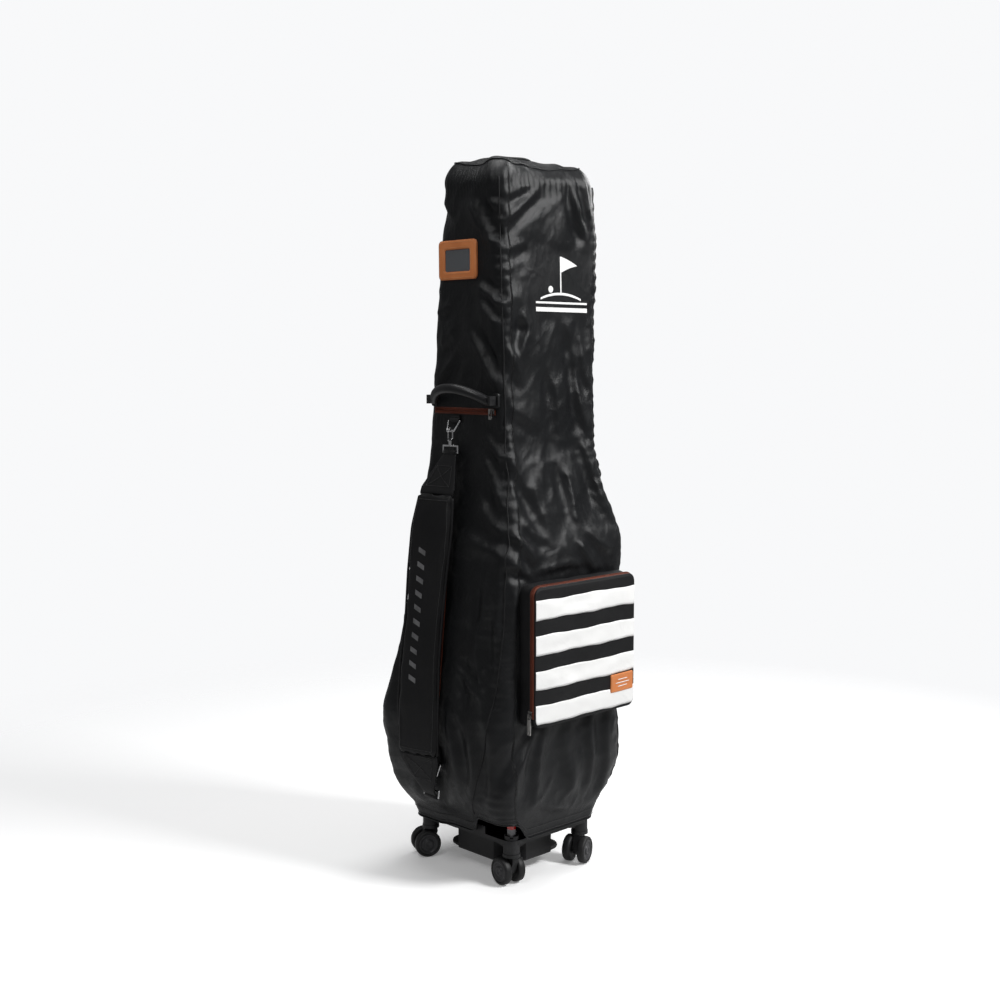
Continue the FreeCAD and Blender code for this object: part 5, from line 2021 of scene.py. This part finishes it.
class Fittings:
    """Hard parts that keep their made shape and get their finish."""

    rules: Tuple[Tuple[str, Finish], ...] = (
        ("base_screws", STEEL), ("base_", BASE_PLASTIC), ("hem_snaps", SILVER), ("lock_stem", STEM_GREY),
        ("lock_cap", CAP_RED), ("lock_spring", STEEL), ("caster_", BASE_PLASTIC), ("handle_grip", GRIP),
        ("handle_mounts", GRIP), ("strap_rings", SILVER), ("upper_hook", SILVER), ("lower_hook", SILVER),
        ("upper_gate", SILVER), ("lower_gate", SILVER), ("id_window", VINYL))

    def build(self) -> int:
        """Dresses every shown hard part.

        Returns:
            How many parts were dressed.
        """
        count = 0
        for name, obj in frame["nodes"].items():
            if obj.hide_render:
                continue
            finish = GUNMETAL if name.endswith(("_slider", "_pull")) else None
            if name.endswith("_pins"):
                finish = STEEL
            for start, chosen in self.rules:
                if finish is None and name.startswith(start):
                    finish = chosen
            finish = finish or BASE_PLASTIC
            obj.data.materials.clear()
            obj.data.materials.append(RACK.get(finish))
            count += 1
        return count


@dataclass
class Studio:
    """Pale floor, soft lights and the camera."""

    eye: Tuple[float, float, float] = (-1.769, -1.822, 0.941)
    heading: Pair = (0.6936, 0.7204)
    tilt: float = 5.813
    ambient: float = 0.17
    floor_glow: float = 0.16
    lamps: Tuple[Tuple[str, Point, Point, float, float], ...] = (
        ("key", (1.0, -2.3, 2.5), (0, 0, 0.8), 0.8, 106.0),
        ("left", (-1.9, -0.7, 2.9), (0, 0, 0.8), 0.7, 21.0),
        ("rim", (2.4, 0.4, 2.0), (0, 0, 0.8), 1.0, 26.0),
        ("top", (0.1, 0.3, 3.2), (0, 0, 0), 1.8, 42.0))

    def build(self) -> None:
        """Sets up the stage."""
        self._floor()
        self._world()
        self._lights()
        self._camera()

    def _floor(self) -> None:
        """A pale floor that melts into the surroundings away from the case."""
        mesh = bpy.data.meshes.new("studio_floor")
        s = 3.0
        mesh.from_pydata([(-s, -s, 0), (s, -s, 0), (s, s, 0), (-s, s, 0)], [], [(0, 1, 2, 3)])
        floor = bpy.data.objects.new("studio_floor", mesh)
        bpy.context.scene.collection.objects.link(floor)
        made = bpy.data.materials.new("Pale floor")
        made.use_nodes = True
        g = Graph(made.node_tree)
        shader = made.node_tree.nodes["Principled BSDF"]
        shader.inputs["Base Color"].default_value = (0.93, 0.93, 0.935, 1)
        shader.inputs["Roughness"].default_value = 0.6
        shader.inputs["Specular IOR Level"].default_value = 0.25
        shader.inputs["Emission Color"].default_value = (1, 1, 1, 1)
        shader.inputs["Emission Strength"].default_value = self.floor_glow
        seen = g.node("ShaderNodeLightPath").outputs["Is Camera Ray"]
        made.node_tree.links.new(g.ramp(seen, 0, 1, 0.42, 0.93), shader.inputs["Base Color"])
        spot = g.node("ShaderNodeTexCoord").outputs["Object"]
        far = g.node("ShaderNodeVectorMath", {"#0": spot}, operation="LENGTH").outputs["Value"]
        made.node_tree.links.new(g.ramp(far, 0.55, 1.9, 1.0, 0.0), shader.inputs["Alpha"])
        mesh.materials.append(made)

    def _world(self) -> None:
        """White surroundings, seen bright and lighting the case softly."""
        world = bpy.data.worlds.new("studio")
        bpy.context.scene.world = world
        world.use_nodes = True
        g = Graph(world.node_tree)
        back = world.node_tree.nodes["Background"]
        back.inputs["Color"].default_value = (0.985, 0.99, 1.0, 1)
        seen = g.node("ShaderNodeLightPath").outputs["Is Camera Ray"]
        world.node_tree.links.new(g.ramp(seen, 0, 1, self.ambient, 0.955), back.inputs["Strength"])

    def _lights(self) -> None:
        """Soft lamps: a key at the front right, a rim at the right, weaker fills."""
        for name, place_at, look, size, power in self.lamps:
            lamp = bpy.data.lights.new(name, "AREA")
            lamp.shape = "SQUARE"
            lamp.size = size
            lamp.energy = power
            obj = bpy.data.objects.new("lamp_" + name, lamp)
            obj.location = place_at
            way = Vector(look) - Vector(place_at)
            obj.rotation_euler = way.to_track_quat("-Z", "Y").to_euler()
            bpy.context.scene.collection.objects.link(obj)

    def _camera(self) -> None:
        """A 50 mm camera at standing height."""
        data = bpy.data.cameras.new("camera")
        data.lens = 50.0
        data.sensor_width = 36.0
        obj = bpy.data.objects.new("camera", data)
        obj.location = self.eye
        drop = math.tan(math.radians(self.tilt)) * math.hypot(*self.heading)
        way = Vector((self.heading[0], self.heading[1], -drop))
        obj.rotation_euler = way.to_track_quat("-Z", "Y").to_euler()
        bpy.context.scene.collection.objects.link(obj)
        scene = bpy.context.scene
        scene.camera = obj
        scene.view_settings.view_transform = "Standard"
        scene.view_settings.look = "None"


def main() -> None:
    """Builds the case, piece by piece."""
    logging.basicConfig(level=logging.INFO, format="%(message)s")
    cover = Cover()
    cover.settle()
    cover.build()
    LOG.info("cover: %d rows of %d points", *cover.skin.shape[:2])
    for part in (Zips(cover), Pocket(), Tag(cover), Print(cover), Strap(), RingTabs(cover), TopBand(),
                 FloorPad(),
                 Wheels(), LockSpring()):
        part.build()
        LOG.info("%s built", type(part).__name__)
    LOG.info("fittings: %d hard parts dressed", Fittings().build())
    Studio().build()
    LOG.info("studio and sizes done")


if __name__ == "__main__":
    main()
